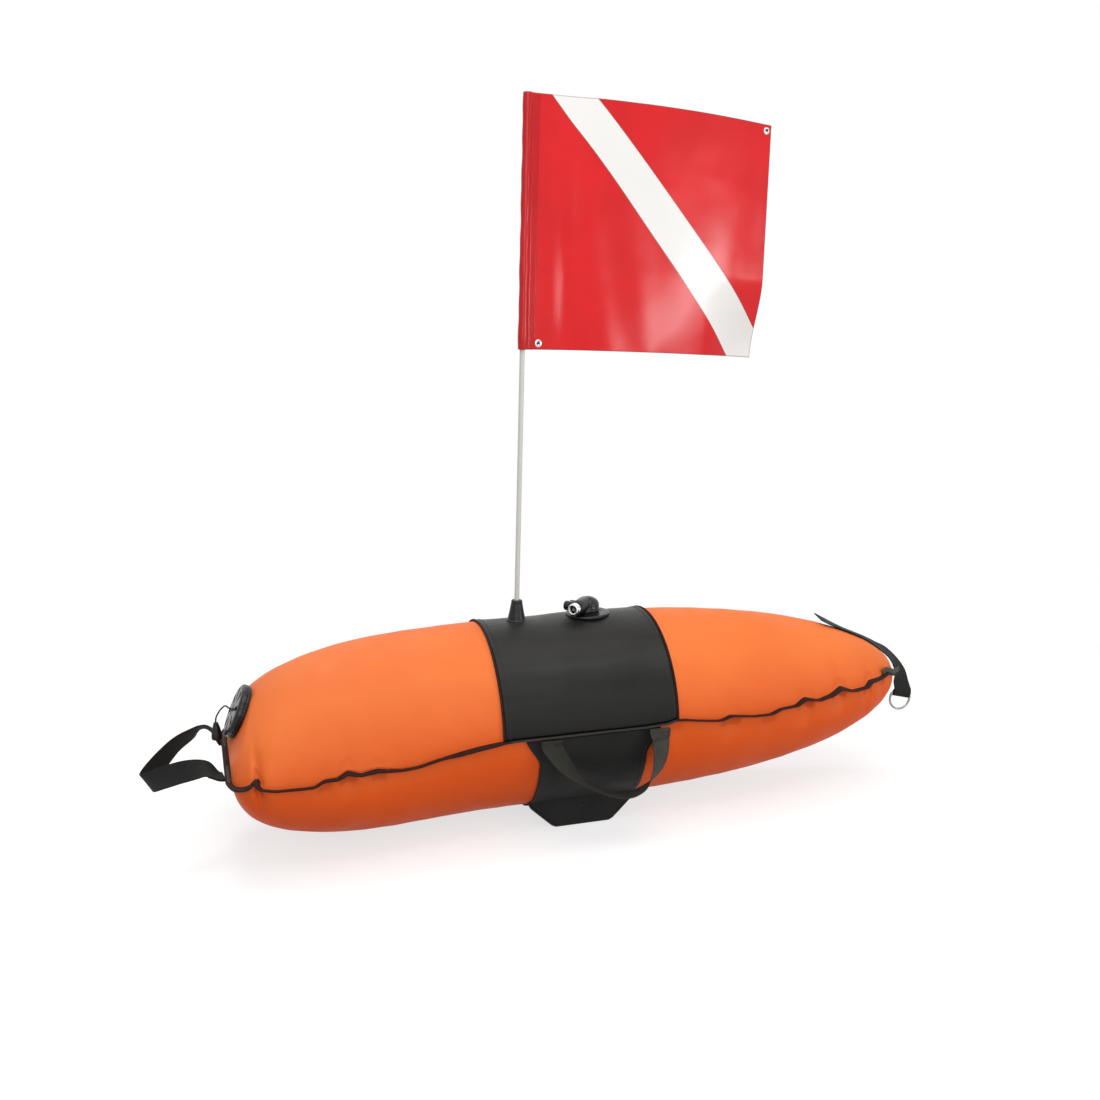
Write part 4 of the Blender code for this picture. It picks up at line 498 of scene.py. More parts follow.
def ribbed(name, light, dark, pitch, slant, fold, depth, roughness, plain_half=None, shade_below=None):
    """Ribs across the length: sine of (v + slant * folded u); fold is the width of one slanting band. The gaps
    between ribs are painted shade. Below a given X the colour is painted darker as shade, rising to its full
    colour over 50 mm past it, and it is plain within plain_half of the middle."""
    made, tree, shader = new_finish(name, light, roughness, Specular_IOR_Level=0.16)
    u, v = uv_axes(tree)
    folded = calc(tree, "PINGPONG", u, fold)
    phase = calc(tree, "MULTIPLY_ADD", folded, slant, v)
    rib = calc(tree, "ABSOLUTE", calc(tree, "SINE", calc(tree, "MULTIPLY", phase, math.pi / pitch)))
    strand = calc(tree, "ABSOLUTE", calc(tree, "SINE", calc(tree, "MULTIPLY", u, math.pi / (0.5 * pitch))))
    patchy = stretched(tree, object_noise(tree, 60.0), 0.3, 0.7, 0.0, 0.5)
    # Painted shade between the ribs, together with random darker patches of tone.
    shade = calc(tree, "MAXIMUM", stretched(tree, rib, 0.0, 0.6, 1.0, 0.0), patchy)
    where = node(tree, "ShaderNodeSeparateXYZ", {0: node(tree, "ShaderNodeTexCoord").outputs["Object"]})
    # Painted shade: below the given X the colour is darker, reaching its full colour 50 mm further on.
    if shade_below is not None:
        paler_blend = stretched(tree, where.outputs[0], shade_below, shade_below + 0.05)
        light = mixed(tree, paler_blend, tuple(0.45 * c for c in light), light)
    if plain_half:
        away = calc(tree, "ABSOLUTE", where.outputs[0])
        plain = stretched(tree, away, plain_half, plain_half + 0.004, 1.0, 0.0)
        light = mixed(tree, plain, light, PLAIN_TAPE)
        dark = mixed(tree, plain, dark, PLAIN_GAPS)
    tree.links.new(mixed(tree, shade, light, dark), shader.inputs["Base Color"])
    bumped(tree, shader, (rib, depth), (strand, 0.3 * depth))
    return made


CHEVRON = (1.5 * MM, 1.0, 4.5 * MM, 0.25 * MM)     # pitch, slant, fold and depth of the webbing's ribs
WEBBING = ribbed("black_webbing", (0.0150, 0.0154, 0.0146), (0.006, 0.006, 0.0056), *CHEVRON, 0.60)
# Painted light: a paler copy of the black webbing for the side handle's lit right leg, with painted shade on
# its left part.
LIT_WEBBING = ribbed("lit_webbing", (0.072, 0.070, 0.058), (0.018, 0.018, 0.015), *CHEVRON, 0.62,
                       shade_below=0.030)
TAB_WEBBING = ribbed("olive_webbing", (0.105, 0.105, 0.078), (0.035, 0.035, 0.026), *CHEVRON, 0.66)
TAPE = ribbed("edge_tape", (0.032, 0.010, 0.008), (0.011, 0.005, 0.0045), 1.1 * MM, 0.0, 20.0 * MM,
              0.15 * MM, 0.66, plain_half=0.104)
THREAD = ribbed("sewing_thread", (0.055, 0.053, 0.050), (0.020, 0.020, 0.019), 0.5 * MM, 0.8, 1.0 * MM,
                0.05 * MM, 0.55)
CORD_BRAID = ribbed("cord_braid", (0.034, 0.034, 0.035), (0.010, 0.010, 0.010), 0.9 * MM, 1.2, 0.8 * MM,
                    0.12 * MM, 0.6)
print("narrow weaves:", WEBBING.name, TAPE.name, THREAD.name, CORD_BRAID.name)

# %% [markdown]
# ## The pull cord
# A thin braided cord leaves the dump valve's stem and carries a bell-shaped rubber toggle. It is limp, so it
# bends over its first few diameters and then hangs straight down.

# %% Cord from the stem to the toggle
CORD_RADIUS = 1.0 * MM
TOGGLE_TOP = np.array((-0.4495, 0.0, AXIS_HEIGHT + 0.0240))
STEM_TOP = 14.0 * MM               # end of the poppet's stem over the cover, along the valve's axis


def cord_route():
    """The stem's end, a short run straight out, the bend, and the fall to the toggle's top."""
    stem = moved((0.0, 0.0, STEM_TOP), DUMP)
    bend = np.array([(-0.4370, 0.0, 0.0440), (-0.4425, 0.0, 0.0400), (-0.4480, 0.0, 0.0320)])
    return np.vstack([stem, stem + 4.0 * MM * DUMP[1][:, 2] + 0.5 * MM * Z_AXIS, bend + AXIS_HEIGHT * Z_AXIS,
                      TOGGLE_TOP + 2.3 * MM * Z_AXIS, TOGGLE_TOP + GAP * Z_AXIS])


cord_path = smooth_path(cord_route(), 8)
pull_cord = swept_piece("pull_cord_braid", cord_path, Y_AXIS, circle(CORD_RADIUS, 12))
settle(pull_cord, "dump_pull", "cord", CORD_BRAID, "pull_cord")
print("cord length in mm:", round(1000.0 * travelled(cord_path)[-1], 1))

# %% [markdown]
# ## Moulded rubber, plastic and metal
# Rubber is dull with a fine grain. The valves are injection-moulded plastic: smoother, with soft broad
# highlights and small scuffs. The metal is polished steel and bright chrome, lightly scratched.

# %% Hard finishes
def moulded(name, colour, roughness, grain, depth, scuff=0.12, **sockets):
    """One colour with fine grain, lighter scuffs from stretched noise, and roughness that follows them."""
    made, tree, shader = new_finish(name, colour, roughness, **sockets)
    marks = stretched(tree, object_noise(tree, 95.0, 5.0, 0.7), 0.56, 0.72)
    pale = tuple(min(1.0, c + scuff * (0.5 - 0.5 * c)) for c in colour)
    tree.links.new(mixed(tree, marks, colour, pale), shader.inputs["Base Color"])
    tree.links.new(stretched(tree, marks, 0.0, 1.0, roughness, min(1.0, roughness + 0.18)),
                   shader.inputs["Roughness"])
    bumped(tree, shader, (object_noise(tree, grain, 2.0), depth))
    return made


RUBBER = moulded("black_rubber", (0.008, 0.008, 0.008), 0.38, 900.0, 0.04 * MM, 0.05, Specular_IOR_Level=0.30)
PLASTIC = moulded("valve_plastic", (0.007, 0.007, 0.0075), 0.25, 500.0, 0.02 * MM, 0.06,
                  Specular_IOR_Level=0.33)
INNER_PLASTIC = moulded("inner_plastic", (0.030, 0.030, 0.031), 0.50, 500.0, 0.03 * MM)
POLE_GLOSS = moulded("pole_gloss", (0.66, 0.66, 0.62), 0.30, 160.0, 0.03 * MM, 0.3)
CHROME = moulded("bright_chrome", (0.78, 0.78, 0.77), 0.10, 300.0, 0.01 * MM, 0.1, Metallic=1.0)
STEEL = moulded("polished_steel", (0.30, 0.30, 0.29), 0.30, 260.0, 0.03 * MM, 0.2, Metallic=1.0)
EYELET = moulded("eyelet_metal", (0.66, 0.65, 0.62), 0.20, 260.0, 0.02 * MM, 0.2, Metallic=1.0)
BALLAST = moulded("cast_ballast", (0.14, 0.14, 0.145), 0.62, 60.0, 0.5 * MM, 0.2, Metallic=0.6)
FILM = moulded("bladder_film", (0.70, 0.72, 0.74), 0.30, 40.0, 0.4 * MM, 0.1)
print("hard finishes:", RUBBER.name, PLASTIC.name, CHROME.name, STEEL.name)

# %% [markdown]
# ## The toggle
# A rubber bell is moulded over the cord's knot, wide enough below to be pulled with gloved fingers. It is
# turned from one profile.

# %% Toggle on the cord
toggle_profile = np.array([(0.0, 0.0), (2.6, 0.0), (3.3, -1.2), (3.2, -2.4), (4.1, -4.6), (5.3, -9.0),
                           (6.2, -15.0), (6.5, -19.0), (6.2, -21.4), (5.2, -22.0), (3.0, -21.2),
                           (0.0, -20.6)]) * MM
toggle = lathe_piece("toggle_bell", toggle_profile, place_frame(TOGGLE_TOP, Z_AXIS), 48, 1.5 * MM)
settle(toggle, "dump_pull", "rubber", RUBBER, "pull_toggle")
print("toggle height in mm:", round(-toggle_profile[:, 1].min() / MM, 1))

# %% [markdown]
# ## Floor and light
# A large soft lamp overhead gives the broad highlight along the float's top, and one in front lightens its
# side. Small ones behind and at the right put a sheen on the saddle and on the flag. The sky does the rest.
# Rays from the camera see a white world, so the picture's background is white without any more light on the
# float.

# %% Stage
WHITE = (1.0, 1.0, 1.0, 1.0)
FLOOR_GREY, FLOOR_GLOW = (0.42, 0.42, 0.42, 1.0), 0.68
FADE_START, FADE_END = 0.55, 1.25  # distances from the middle between which the floor turns plain white


def emptied(owner):
    """The owner's node tree, switched on and cleared."""
    owner.use_nodes = True
    owner.node_tree.nodes.clear()
    return owner.node_tree


def make_world(sky_strength):
    """White for looks, a soft sky for light."""
    world = bpy.data.worlds.new("studio")
    tree = emptied(world)
    path = node(tree, "ShaderNodeLightPath")
    seen = calc(tree, "MAXIMUM", path.outputs["Is Camera Ray"], path.outputs["Is Transmission Ray"])
    seen = calc(tree, "MAXIMUM", seen, path.outputs["Is Glossy Ray"])
    strength = stretched(tree, seen, 0.0, 1.0, sky_strength, 1.0)
    sky = node(tree, "ShaderNodeBackground", {"Color": WHITE, "Strength": strength})
    node(tree, "ShaderNodeOutputWorld", {0: sky.outputs[0]})
    bpy.context.scene.world = world


def make_floor(height, half_size):
    """A pale floor: lit round the float, fading to plain white further out, grey to other rays."""
    finish = bpy.data.materials.new("studio_floor")
    tree = emptied(finish)
    path = node(tree, "ShaderNodeLightPath")
    seen = calc(tree, "MAXIMUM", path.outputs["Is Camera Ray"], path.outputs["Is Glossy Ray"])
    where = node(tree, "ShaderNodeTexCoord").outputs["Object"]
    radius = node(tree, "ShaderNodeVectorMath", {0: where}, operation="LENGTH").outputs["Value"]
    away = calc(tree, "MULTIPLY", stretched(tree, radius, FADE_START, FADE_END), seen)
    lit = node(tree, "ShaderNodeBsdfDiffuse", {"Color": FLOOR_GREY})
    dark, glow, white = [node(tree, "ShaderNodeEmission", {"Color": WHITE, "Strength": strength})
                         for strength in (0.0, FLOOR_GLOW, 1.0)]
    extra = node(tree, "ShaderNodeMixShader", {0: seen, 1: dark.outputs[0], 2: glow.outputs[0]})
    both = node(tree, "ShaderNodeAddShader", {0: lit.outputs[0], 1: extra.outputs[0]})
    paler_blend = node(tree, "ShaderNodeMixShader", {0: away, 1: both.outputs[0], 2: white.outputs[0]})
    node(tree, "ShaderNodeOutputMaterial", {0: paler_blend.outputs[0]})
    corners = np.array([(-1, -1, 0), (1, -1, 0), (1, 1, 0), (-1, 1, 0)], dtype=float) * half_size
    corners[:, 2] = height
    floor = link_mesh("floor", corners, np.array([[0, 1, 2, 3]]))
    floor.data.materials.append(finish)


def soft_lamp(name, place, target, width, height, power):
    """A rectangular area lamp that looks at a target."""
    lamp = bpy.data.lights.new(name, "AREA")
    lamp.shape, lamp.size, lamp.size_y, lamp.energy = "RECTANGLE", width, height, power
    holder = bpy.data.objects.new(name, lamp)
    away = place_frame(place, np.array(place) - np.array(target), (0.0, 1.0, 0.3))
    turned = Matrix(away[1].tolist()).to_4x4()
    turned.translation = place
    holder.matrix_world = turned
    bpy.context.scene.collection.objects.link(holder)


make_world(0.44)
make_floor(-0.4 * MM, 14.0)
soft_lamp("top_lamp", (0.0, -0.7, 2.4), (0.0, 0.0, 0.2), 2.2, 2.2, 30.0)
soft_lamp("back_lamp", (-0.5, 1.45, 2.3), (0.0, 0.0, 0.3), 0.55, 0.55, 14.0)
soft_lamp("front_lamp", (-0.6, -2.8, 1.3), (0.1, 0.0, 0.25), 1.7, 1.7, 20.0)
soft_lamp("gloss_lamp", (1.68, -1.56, 0.56), (0.14, 0.02, 0.66), 0.80, 0.30, 9.0)
bpy.context.scene.view_settings.view_transform = "Standard"
print("lamps:", len(bpy.data.lights))

# %% [markdown]
# ## The float's form
# Two cloth panels are sewn along a side seam and blown up, so every cross-section is close to a circle, the
# tail ends like a pillow and the nose like a bullet. The form is one function of the place along the float
# and the angle round it, from the near seam over the top and back round the belly.

# %% Form of the inflated body
TAIL_START, TAIL_LENGTH, TAIL_POWER = -0.165, 0.272, 2.75
NOSE_START, NOSE_LENGTH, NOSE_POWER = 0.035, 0.444, 2.05
RADIUS, HALF_WIDTH, SAG = 0.121, 0.124, 0.003
TAIL_SWELL, TAIL_CORNER, TAIL_DROP, NOSE_DROP = 0.009, 0.050, 0.023, 0.006
TAIL_END, NOSE_TIP = TAIL_START - TAIL_LENGTH, NOSE_START + NOSE_LENGTH
DROOP_START = -0.115               # the seam falls from here to the tail
DROOP_RUN, DIP_START, DIP_RUN = 0.165, 0.115, 0.060


def s_curve(value):
    """0 below zero, 1 above one, 3t^2 - 2t^3 between."""
    t = np.clip(value, 0.0, 1.0)
    return t * t * (3.0 - 2.0 * t)


def dome(share, power):
    """Superellipse: (1 - share^power)^(1/power)."""
    return (1.0 - np.clip(share, 0.0, 1.0) ** power) ** (1.0 / power)


def end_share(x, grow=0.0):
    """Height share of the section at x."""
    tail = dome((TAIL_START - x) / (TAIL_LENGTH + grow), TAIL_POWER)
    nose = dome((x - NOSE_START) / (NOSE_LENGTH + grow), NOSE_POWER)
    return np.where(x < TAIL_START, tail, np.where(x > NOSE_START, nose, 1.0))


def seam_height(x):
    """Level of the side seam, which falls towards the tail and a little towards the nose."""
    tail, nose = s_curve((DROOP_START - x) / DROOP_RUN), s_curve((x - DIP_START) / DIP_RUN)
    return AXIS_HEIGHT - TAIL_DROP * tail - NOSE_DROP * nose


def middle_height(x):
    """Level of the section's middle."""
    tail = (TAIL_DROP - SAG) * np.clip((DROOP_START - x) / (DROOP_START - TAIL_END), 0.0, 1.0) ** 1.6
    return AXIS_HEIGHT - SAG - tail - (NOSE_DROP - SAG) * s_curve((x - DIP_START) / 0.300)


def half_width(x, grow=0.0):
    """Half the plan width: straight sides, rounded tail corners, a domed nose."""
    wide = HALF_WIDTH + grow + TAIL_SWELL * s_curve((TAIL_START - x) / (0.5 * TAIL_LENGTH))
    corner = TAIL_CORNER + grow
    past = np.clip(TAIL_END + TAIL_CORNER - x, 0.0, corner)
    nose = (HALF_WIDTH + grow) * dome((x - NOSE_START) / (NOSE_LENGTH + grow), NOSE_POWER)
    return np.where(x < NOSE_START, wide - corner + np.sqrt(corner ** 2 - past ** 2), nose)


def plain_body(x, angle, grow=0.0):
    """Smooth body: half width times cosine across, rise or drop times sine up, flat under the dump valve."""
    share = end_share(x, grow)
    shift = (middle_height(x) - seam_height(x)) * np.minimum(2.0 * share, 1.0)
    lift = np.sin(angle)
    reach = (RADIUS + grow) * share + np.where(lift >= 0.0, shift, -shift)
    points = np.stack(np.broadcast_arrays(x, -half_width(x, grow) * np.cos(angle),
                                          seam_height(x) + reach * lift), axis=-1)
    normal = DUMP[1][:, 2]
    past = np.clip((points - DUMP[0]) @ normal - grow, 0.0, None)
    return points - past[..., None] * normal


print("body length in mm:", round(1000.0 * (NOSE_TIP - TAIL_END)))

# %% [markdown]
# ## The wandering seam
# A flat seam sewn on a bag that is then blown up is too long for its curve, so it waves: little near the
# saddle and strongly near both ends. Under each crest the cloth is drawn in to a pucker. The crests of the
# near side were read off the photograph; the far side, which it doesn't show, gets the same kind of wave
# moved along.

# %% Seam wave and puckers
SEAM_X = np.array([-0.437, -0.4344, -0.4265, -0.4176, -0.4095, -0.4058, -0.3884, -0.3646, -0.345, -0.3336,
                   -0.3181, -0.3065, -0.2913, -0.2707, -0.2412, -0.2206, -0.160, -0.1152, -0.0539, 0.0199,
                   0.0677, 0.098, 0.1058, 0.1352, 0.1702, 0.1837, 0.2173, 0.243, 0.2575, 0.2812, 0.296, 0.3179,
                   0.3369, 0.3563, 0.3772, 0.4024, 0.4096, 0.434, 0.4477, 0.462, 0.479])
SEAM_LIFT = np.array([0.0, 0.0, 2.5, 7.0, 17.0, 4.4, 1.4, 0.6, 0.4, 7.2, 7.5, 15.0, 10.0, 12.5, 4.2, 1.5, 1.2,
                      2.0, 1.4, 1.4, 0.7, 2.0, 5.4, 2.6, 2.1, 6.7, 0.8, -0.5, 4.4, 4.8, 13.2, 6.2, 9.2, 17.2,
                      8.0, 7.6, 13.6, 13.4, 15.0, 9.0, 0.0]) * MM
PUCKERS = np.array([(-0.4075, 5.5, 7.0, 3.2), (-0.333, 9.0, 2.4, 0.8), (-0.3065, 11.0, 3.4, 1.2),
                    (-0.270, 10.0, 2.6, 1.0), (0.106, 13.0, 1.8, 0.5), (0.186, 15.0, 3.2, 0.8),
                    (0.243, 12.0, 2.2, 0.6), (0.300, 14.0, 4.8, 1.2), (0.356, 13.0, 5.6, 1.6),
                    (0.409, 9.0, 3.6, 1.4), (0.440, 7.0, 2.6, 1.0)]) * np.array([1.0, MM, MM, MM])
FAR_SHIFT, FAR_SHARE = 0.019, 0.8  # the far side's wave lies this much further on and is this much as high


def seam_lift(x, far):
    """Height of the seam over its smooth line, from the table made smooth over 9 mm."""
    fine = np.linspace(TAIL_END, NOSE_TIP, 916)
    table = np.interp(fine, SEAM_X, SEAM_LIFT)
    kernel = np.hanning(9) / np.hanning(9).sum()
    table = np.convolve(np.pad(table, 4, mode="edge"), kernel, mode="valid")
    ends = s_curve((x - TAIL_END) / 0.010) * s_curve((NOSE_TIP - x) / 0.012)
    return np.where(far, FAR_SHARE * np.interp(x - FAR_SHIFT, fine, table), np.interp(x, fine, table)) * ends


def seam_angle(x, far):
    """Angle above the smooth seam at which the wave lies on the section: arcsine of lift over reach."""
    reach = np.maximum(RADIUS * end_share(x), 1e-4)
    return np.arcsin(np.clip(seam_lift(x, far) / reach, -0.5, 0.5))


def from_puckers(x, below, far):
    """Distance along X to every pucker, and how deep each is on this side of the seam."""
    where = np.asarray(x)[..., None] - (PUCKERS[:, 0] + np.where(far, FAR_SHIFT, 0.0)[..., None])
    return where, np.where(np.asarray(below)[..., None], PUCKERS[:, 2], PUCKERS[:, 3])


def pucker(x, distance, below, far):
    """Inward pull: bumps along x times (d / 12 mm) e^(1 - d / 12 mm) at a distance d off the seam, plus a
    pocket that rises to a ridge 10 mm off the seam and ends 44 mm off it."""
    where, depth = from_puckers(x, below, far)
    pull = np.sum(depth * np.exp(-(where / PUCKERS[:, 1]) ** 2), axis=-1)
    run = distance / (12.0 * MM)
    narrowed = 0.95 * PUCKERS[:, 1] * (1.0 - 0.3 * np.minimum(run, 1.0))[..., None]
    flat = 1.0 / (1.0 + np.abs(where / narrowed) ** 10)
    pocket = np.sum(flat * np.clip(1.5 * depth - 3.6 * MM, 0.0, 3.6 * MM), axis=-1)
    ridge = np.clip(np.minimum(distance / (10.0 * MM), (44.0 * MM - distance) / (34.0 * MM)), 0.0, None)
    return pull * run * np.exp(1.0 - run) + pocket * ridge


def pocket_shade_share(x, distance, below, far):
    """Share of painted pocket shade: 0 on smooth cloth to 1 in a pocket, its flat window, from the seam to a
    soft end 16 mm off.
    """
    where, depth = from_puckers(x, below, far)
    wide = (1.25 * PUCKERS[:, 1])[None] * (1.0 - 0.022 * np.minimum(distance / MM, 16.0))[..., None]
    window = s_curve((wide - np.abs(where)) / (2.0 * MM))
    strength = np.clip(depth / (3.0 * MM) - 0.2, 0.0, 1.0)
    reach = s_curve((16.0 * MM - distance) / (4.0 * MM))
    return np.clip(np.sum(window * strength, axis=-1), 0.0, 1.0) * reach


def from_seam(x, angle):
    """Distance round the section to the nearest seam, whether it is below the seam, and on the far side."""
    far = np.cos(angle) < 0.0
    above = np.where(far, math.pi - angle, np.where(angle > math.pi, angle - 2.0 * math.pi, angle))
    gap = above - seam_angle(x, far)
    return np.abs(gap) * RADIUS * np.maximum(end_share(x), 0.2), gap < 0.0, far


def outwards(angle):
    """Direction away from the section's middle."""
    return np.stack([0.0 * angle, -np.cos(angle), np.sin(angle)], axis=-1)


def float_body(x, angle, grow=0.0):
    """The smooth body, drawn in by its puckers and by half a millimetre of slack."""
    x, angle = np.broadcast_arrays(np.asarray(x, dtype=float), np.asarray(angle, dtype=float))
    distance, below, far = from_seam(x, angle)
    slack = 0.5 * MM * np.sin(x * 71.0 + 2.0 * np.sin(angle * 2.0)) * np.sin(angle * 5.0 + x * 23.0)
    depth = pucker(x, distance, below, far) * np.minimum(1.0, 4.0 * end_share(x)) + np.abs(slack)
    return plain_body(x, angle, grow) - depth[..., None] * outwards(angle)


def long_stations(tail_rows, middle_rows, nose_rows):
    """Places along X, closer together towards both ends (sine spacing)."""
    tail = TAIL_START - TAIL_LENGTH * np.sin(np.linspace(0.5 * math.pi, 0.0, tail_rows, endpoint=False))
    middle = np.linspace(TAIL_START, NOSE_START, middle_rows, endpoint=False)
    nose = NOSE_START + NOSE_LENGTH * np.sin(np.linspace(0.0, 0.5 * math.pi, nose_rows))
    return np.concatenate([tail, middle, nose])


print("largest seam lift in mm:", round(float(SEAM_LIFT.max() / MM), 1))

# %% [markdown]
# ## The two covers
# Each cover is a grid from seam to seam. The grid's first and last columns follow the wandering seam, so both
# covers meet along it. Solidify gives the cloth its thickness, inwards.

# %% Covers
COVER_THICKNESS = 1.2 * MM


def cover_grid(stations, columns, top):
    """Angles run from the near seam to the far one over the top, or on round the belly."""
    near, far = seam_angle(stations, False), seam_angle(stations, True)
    first, last = (near, math.pi - far) if top else (math.pi - far, 2.0 * math.pi + near)
    share = np.linspace(0.0, 1.0, columns)
    share = share + 0.080 * np.sin(-2.0 * math.pi * share)
    angle = first[:, None] + (last - first)[:, None] * share[None, :]
    x = np.broadcast_to(stations[:, None], angle.shape)
    uv = np.stack([x, RADIUS * angle], axis=-1)
    return float_body(x, angle), uv, pocket_shade_share(x, *from_seam(x, angle))


def corner_points(piece):
    """A mesh's vertices as an array."""
    points = np.zeros(3 * len(piece.data.vertices), dtype=np.float32)
    piece.data.vertices.foreach_get("co", points)
    return points.reshape(-1, 3).astype(float)


def open_holes(piece, holes):
    """Leave out every face that reaches into a hole; each hole is (place, radius), along the place's third
    axis. The mast's hole is the deepest, and only the part over the float's axis is opened."""
    points = corner_points(piece)
    inside = np.zeros(len(points), dtype=bool)
    for place, radius in holes:
        local = (points - place[0]) @ place[1]
        depth = HOLE_DEPTH + place[0][2] * (place is MAST)
        inside |= (np.hypot(local[:, 0], local[:, 1]) < radius) & (np.abs(local[:, 2]) < depth)
    bm = bmesh.new()
    bm.from_mesh(piece.data)
    bm.verts.ensure_lookup_table()
    doomed = [bm.verts[index] for index in np.flatnonzero(inside & (points[:, 2] > AXIS_HEIGHT))]
    bmesh.ops.delete(bm, geom=doomed, context="VERTS")
    bm.to_mesh(piece.data)
    bm.free()
    return piece


HOLE_DEPTH = 0.05
SOCKET_HOLE, INFLATOR_HOLE, DUMP_HOLE = 5.9 * MM, 10.8 * MM, 20.3 * MM
stations = long_stations(90, 40, 150)
for name, top in (("top_cover", True), ("bottom_cover", False)):
    grid, uv, drawn = cover_grid(stations, 100, top)
    cover = grid_piece(name + "_cloth", grid, uv, flip=True)
    # Each point's share of painted shade in a pucker, read by the cloth's material.
    cover.data.attributes.new("painted_pocket_shade", "FLOAT", "POINT").data.foreach_set("value", drawn.ravel())
    tidy_mesh(cover, False)
    if top:
        open_holes(cover, [(MAST, SOCKET_HOLE), (INFLATOR, INFLATOR_HOLE), (DUMP, DUMP_HOLE)])
    thicken(cover, COVER_THICKNESS)
    settle(cover, "hull", "orange_cover", ORANGE_CLOTH, name)
    print(name, "quads:", len(cover.data.polygons))

# %% [markdown]
# ## The bound seam
# The raw edges of both covers are folded into one strip of tape, which stands out as a fin all round. The
# tape tips where the seam climbs a crest, so it is carried along the seam with a tilt. Two rows of stitches
# hold it.

# %% Seam tape
FIN, NOSE_FIN, FIN_ROOT, TAPE_THICKNESS = 7.5 * MM, 5.0 * MM, 3.0 * MM, 1.5 * MM


def seam_loop():
    """The seam round the whole float, as x, y, z and its lift: near side, far side backwards, tail."""
    x = long_stations(150, 90, 230)
    sides = []
    for far in (False, True):
        lift = seam_lift(x, far)
        across = (2.0 * far - 1.0) * half_width(x) * np.cos(seam_angle(x, far))
        sides.append(np.column_stack([x, across, seam_height(x) + lift, lift]))
    across = np.linspace(1.0, -1.0, 42)[1:-1] * half_width(x[:1])
    tail = np.column_stack([0.0 * across + x[0], across, 0.0 * across + seam_height(x[0]), 0.0 * across])
    return np.vstack([sides[0], sides[1][-2::-1], tail])


def near_bump(place, half_length, power):
    """1 round a place on the near side, falling off along X as e to the minus (x / half length)^power."""
    return (loop[:, 1] < 0.0) * np.exp(-((loop[:, 0] - place) / half_length) ** power)


loop, loop_lift = np.split(seam_loop(), [3], axis=1)
loop_lift = loop_lift[:, 0]
loop_ahead = way_ahead(loop, True)
fin_out = unit(np.stack([loop_ahead[:, 1], -loop_ahead[:, 0], 0.0 * loop_ahead[:, 0]], axis=1))
fin_length = FIN + (NOSE_FIN - FIN) * s_curve((loop[:, 0] - 0.8 * NOSE_TIP) / (0.2 * NOSE_LENGTH))
fin_tilt = -0.40 * s_curve(loop_lift / (13.0 * MM)) * (loop_lift / (12.0 * MM))
fin_tilt *= 1.0 - 0.8 * near_bump(-0.4045, 0.007, 2)
fin_tilt += 0.15 - 0.55 * near_bump(-0.4230, 0.010, 4) - 0.45 * near_bump(-0.1500, 0.033, 4)
fin_side = unit(fin_out * np.cos(fin_tilt)[:, None] + Z_AXIS * np.sin(fin_tilt)[:, None])
bar = rounded_bar(1.0, TAPE_THICKNESS, 10, 4)
bar[:, 0] += 0.5


def fin_grid():
    """Bar outline stretched from the root to the fin's edge at every point of the loop."""
    normal = unit(np.cross(loop_ahead, fin_side))
    reach = -FIN_ROOT + bar[None, :, 0] * (fin_length + FIN_ROOT)[:, None]
    swell = 1.0 + 0.12 * np.sin(travelled(loop) * 2.0 * math.pi / (4.0 * MM))[:, None] * (bar[None, :, 0] < 0.7)
    points = (loop[:, None] + reach[..., None] * fin_side[:, None]
              + (bar[None, :, 1:] * swell[..., None]) * normal[:, None])
    return points, pairs(bar[None, :, 0] * FIN, travelled(loop)[:, None])


grid, uv = fin_grid()
tape = tidy_mesh(grid_piece("seam_tape", grid, uv, close_rows=True, close_columns=True))
settle(tape, "hull", "binding_tape", TAPE, "seam_binding")
print("seam length in m:", round(float(travelled(loop)[-1]), 2))

# %% [markdown]
# ## Stitches
# A row of stitches is one small bent capsule repeated along a path. The capsule has few faces, because it is
# repeated hundreds of times, and all copies are placed at once: centre plus length along the path, width
# across it and height off the cloth.

# %% Stitch rows
def stitch_arrays(path, normal, pitch=3.6 * MM, length=2.6 * MM, radius=0.28 * MM):
    """Capsules along a path; normal is the cloth's outward direction at each point of it."""
    run = travelled(path)
    centres = np.arange(0.5 * pitch, run[-1], pitch)
    centre = read_at(centres, run, path)
    ahead = unit(read_at(centres, run, way_ahead(path)))
    up = squared(read_at(centres, run, np.broadcast_to(normal, path.shape)), ahead)
    across = np.cross(up, ahead)
    along = np.array([-0.5, -0.42, -0.2, 0.2, 0.42, 0.5])
    thick = np.array([0.0, 0.7, 1.0, 1.0, 0.7, 0.0])
    height = np.array([-0.5, 0.1, 0.5, 0.5, 0.1, -0.5]) * radius
    turn = np.linspace(0.0, 2.0 * math.pi, 6, endpoint=False)
    ring_y = radius * thick[:, None] * np.cos(turn)
    ring_z = radius * thick[:, None] * np.sin(turn) + height[:, None]
    points = (centre[:, None, None] + (length * along)[None, :, None, None] * ahead[:, None, None]
              + ring_y[None, ..., None] * across[:, None, None] + ring_z[None, ..., None] * up[:, None, None])
    faces = (grid_faces(6, 6, False, True)[None] + 36 * np.arange(len(centre))[:, None, None]).reshape(-1, 4)
    uv = np.tile(pairs((along * length)[:, None], (turn * radius)[None, :]).reshape(-1, 2), (len(centre), 1))
    return points, faces, uv


def stitched(name, body, rows):
    """Several rows of stitches as one piece of thread."""
    piece = closed_piece(name, join_arrays([stitch_arrays(*row) for row in rows]))
    return settle(piece, body, "webbing", THREAD)


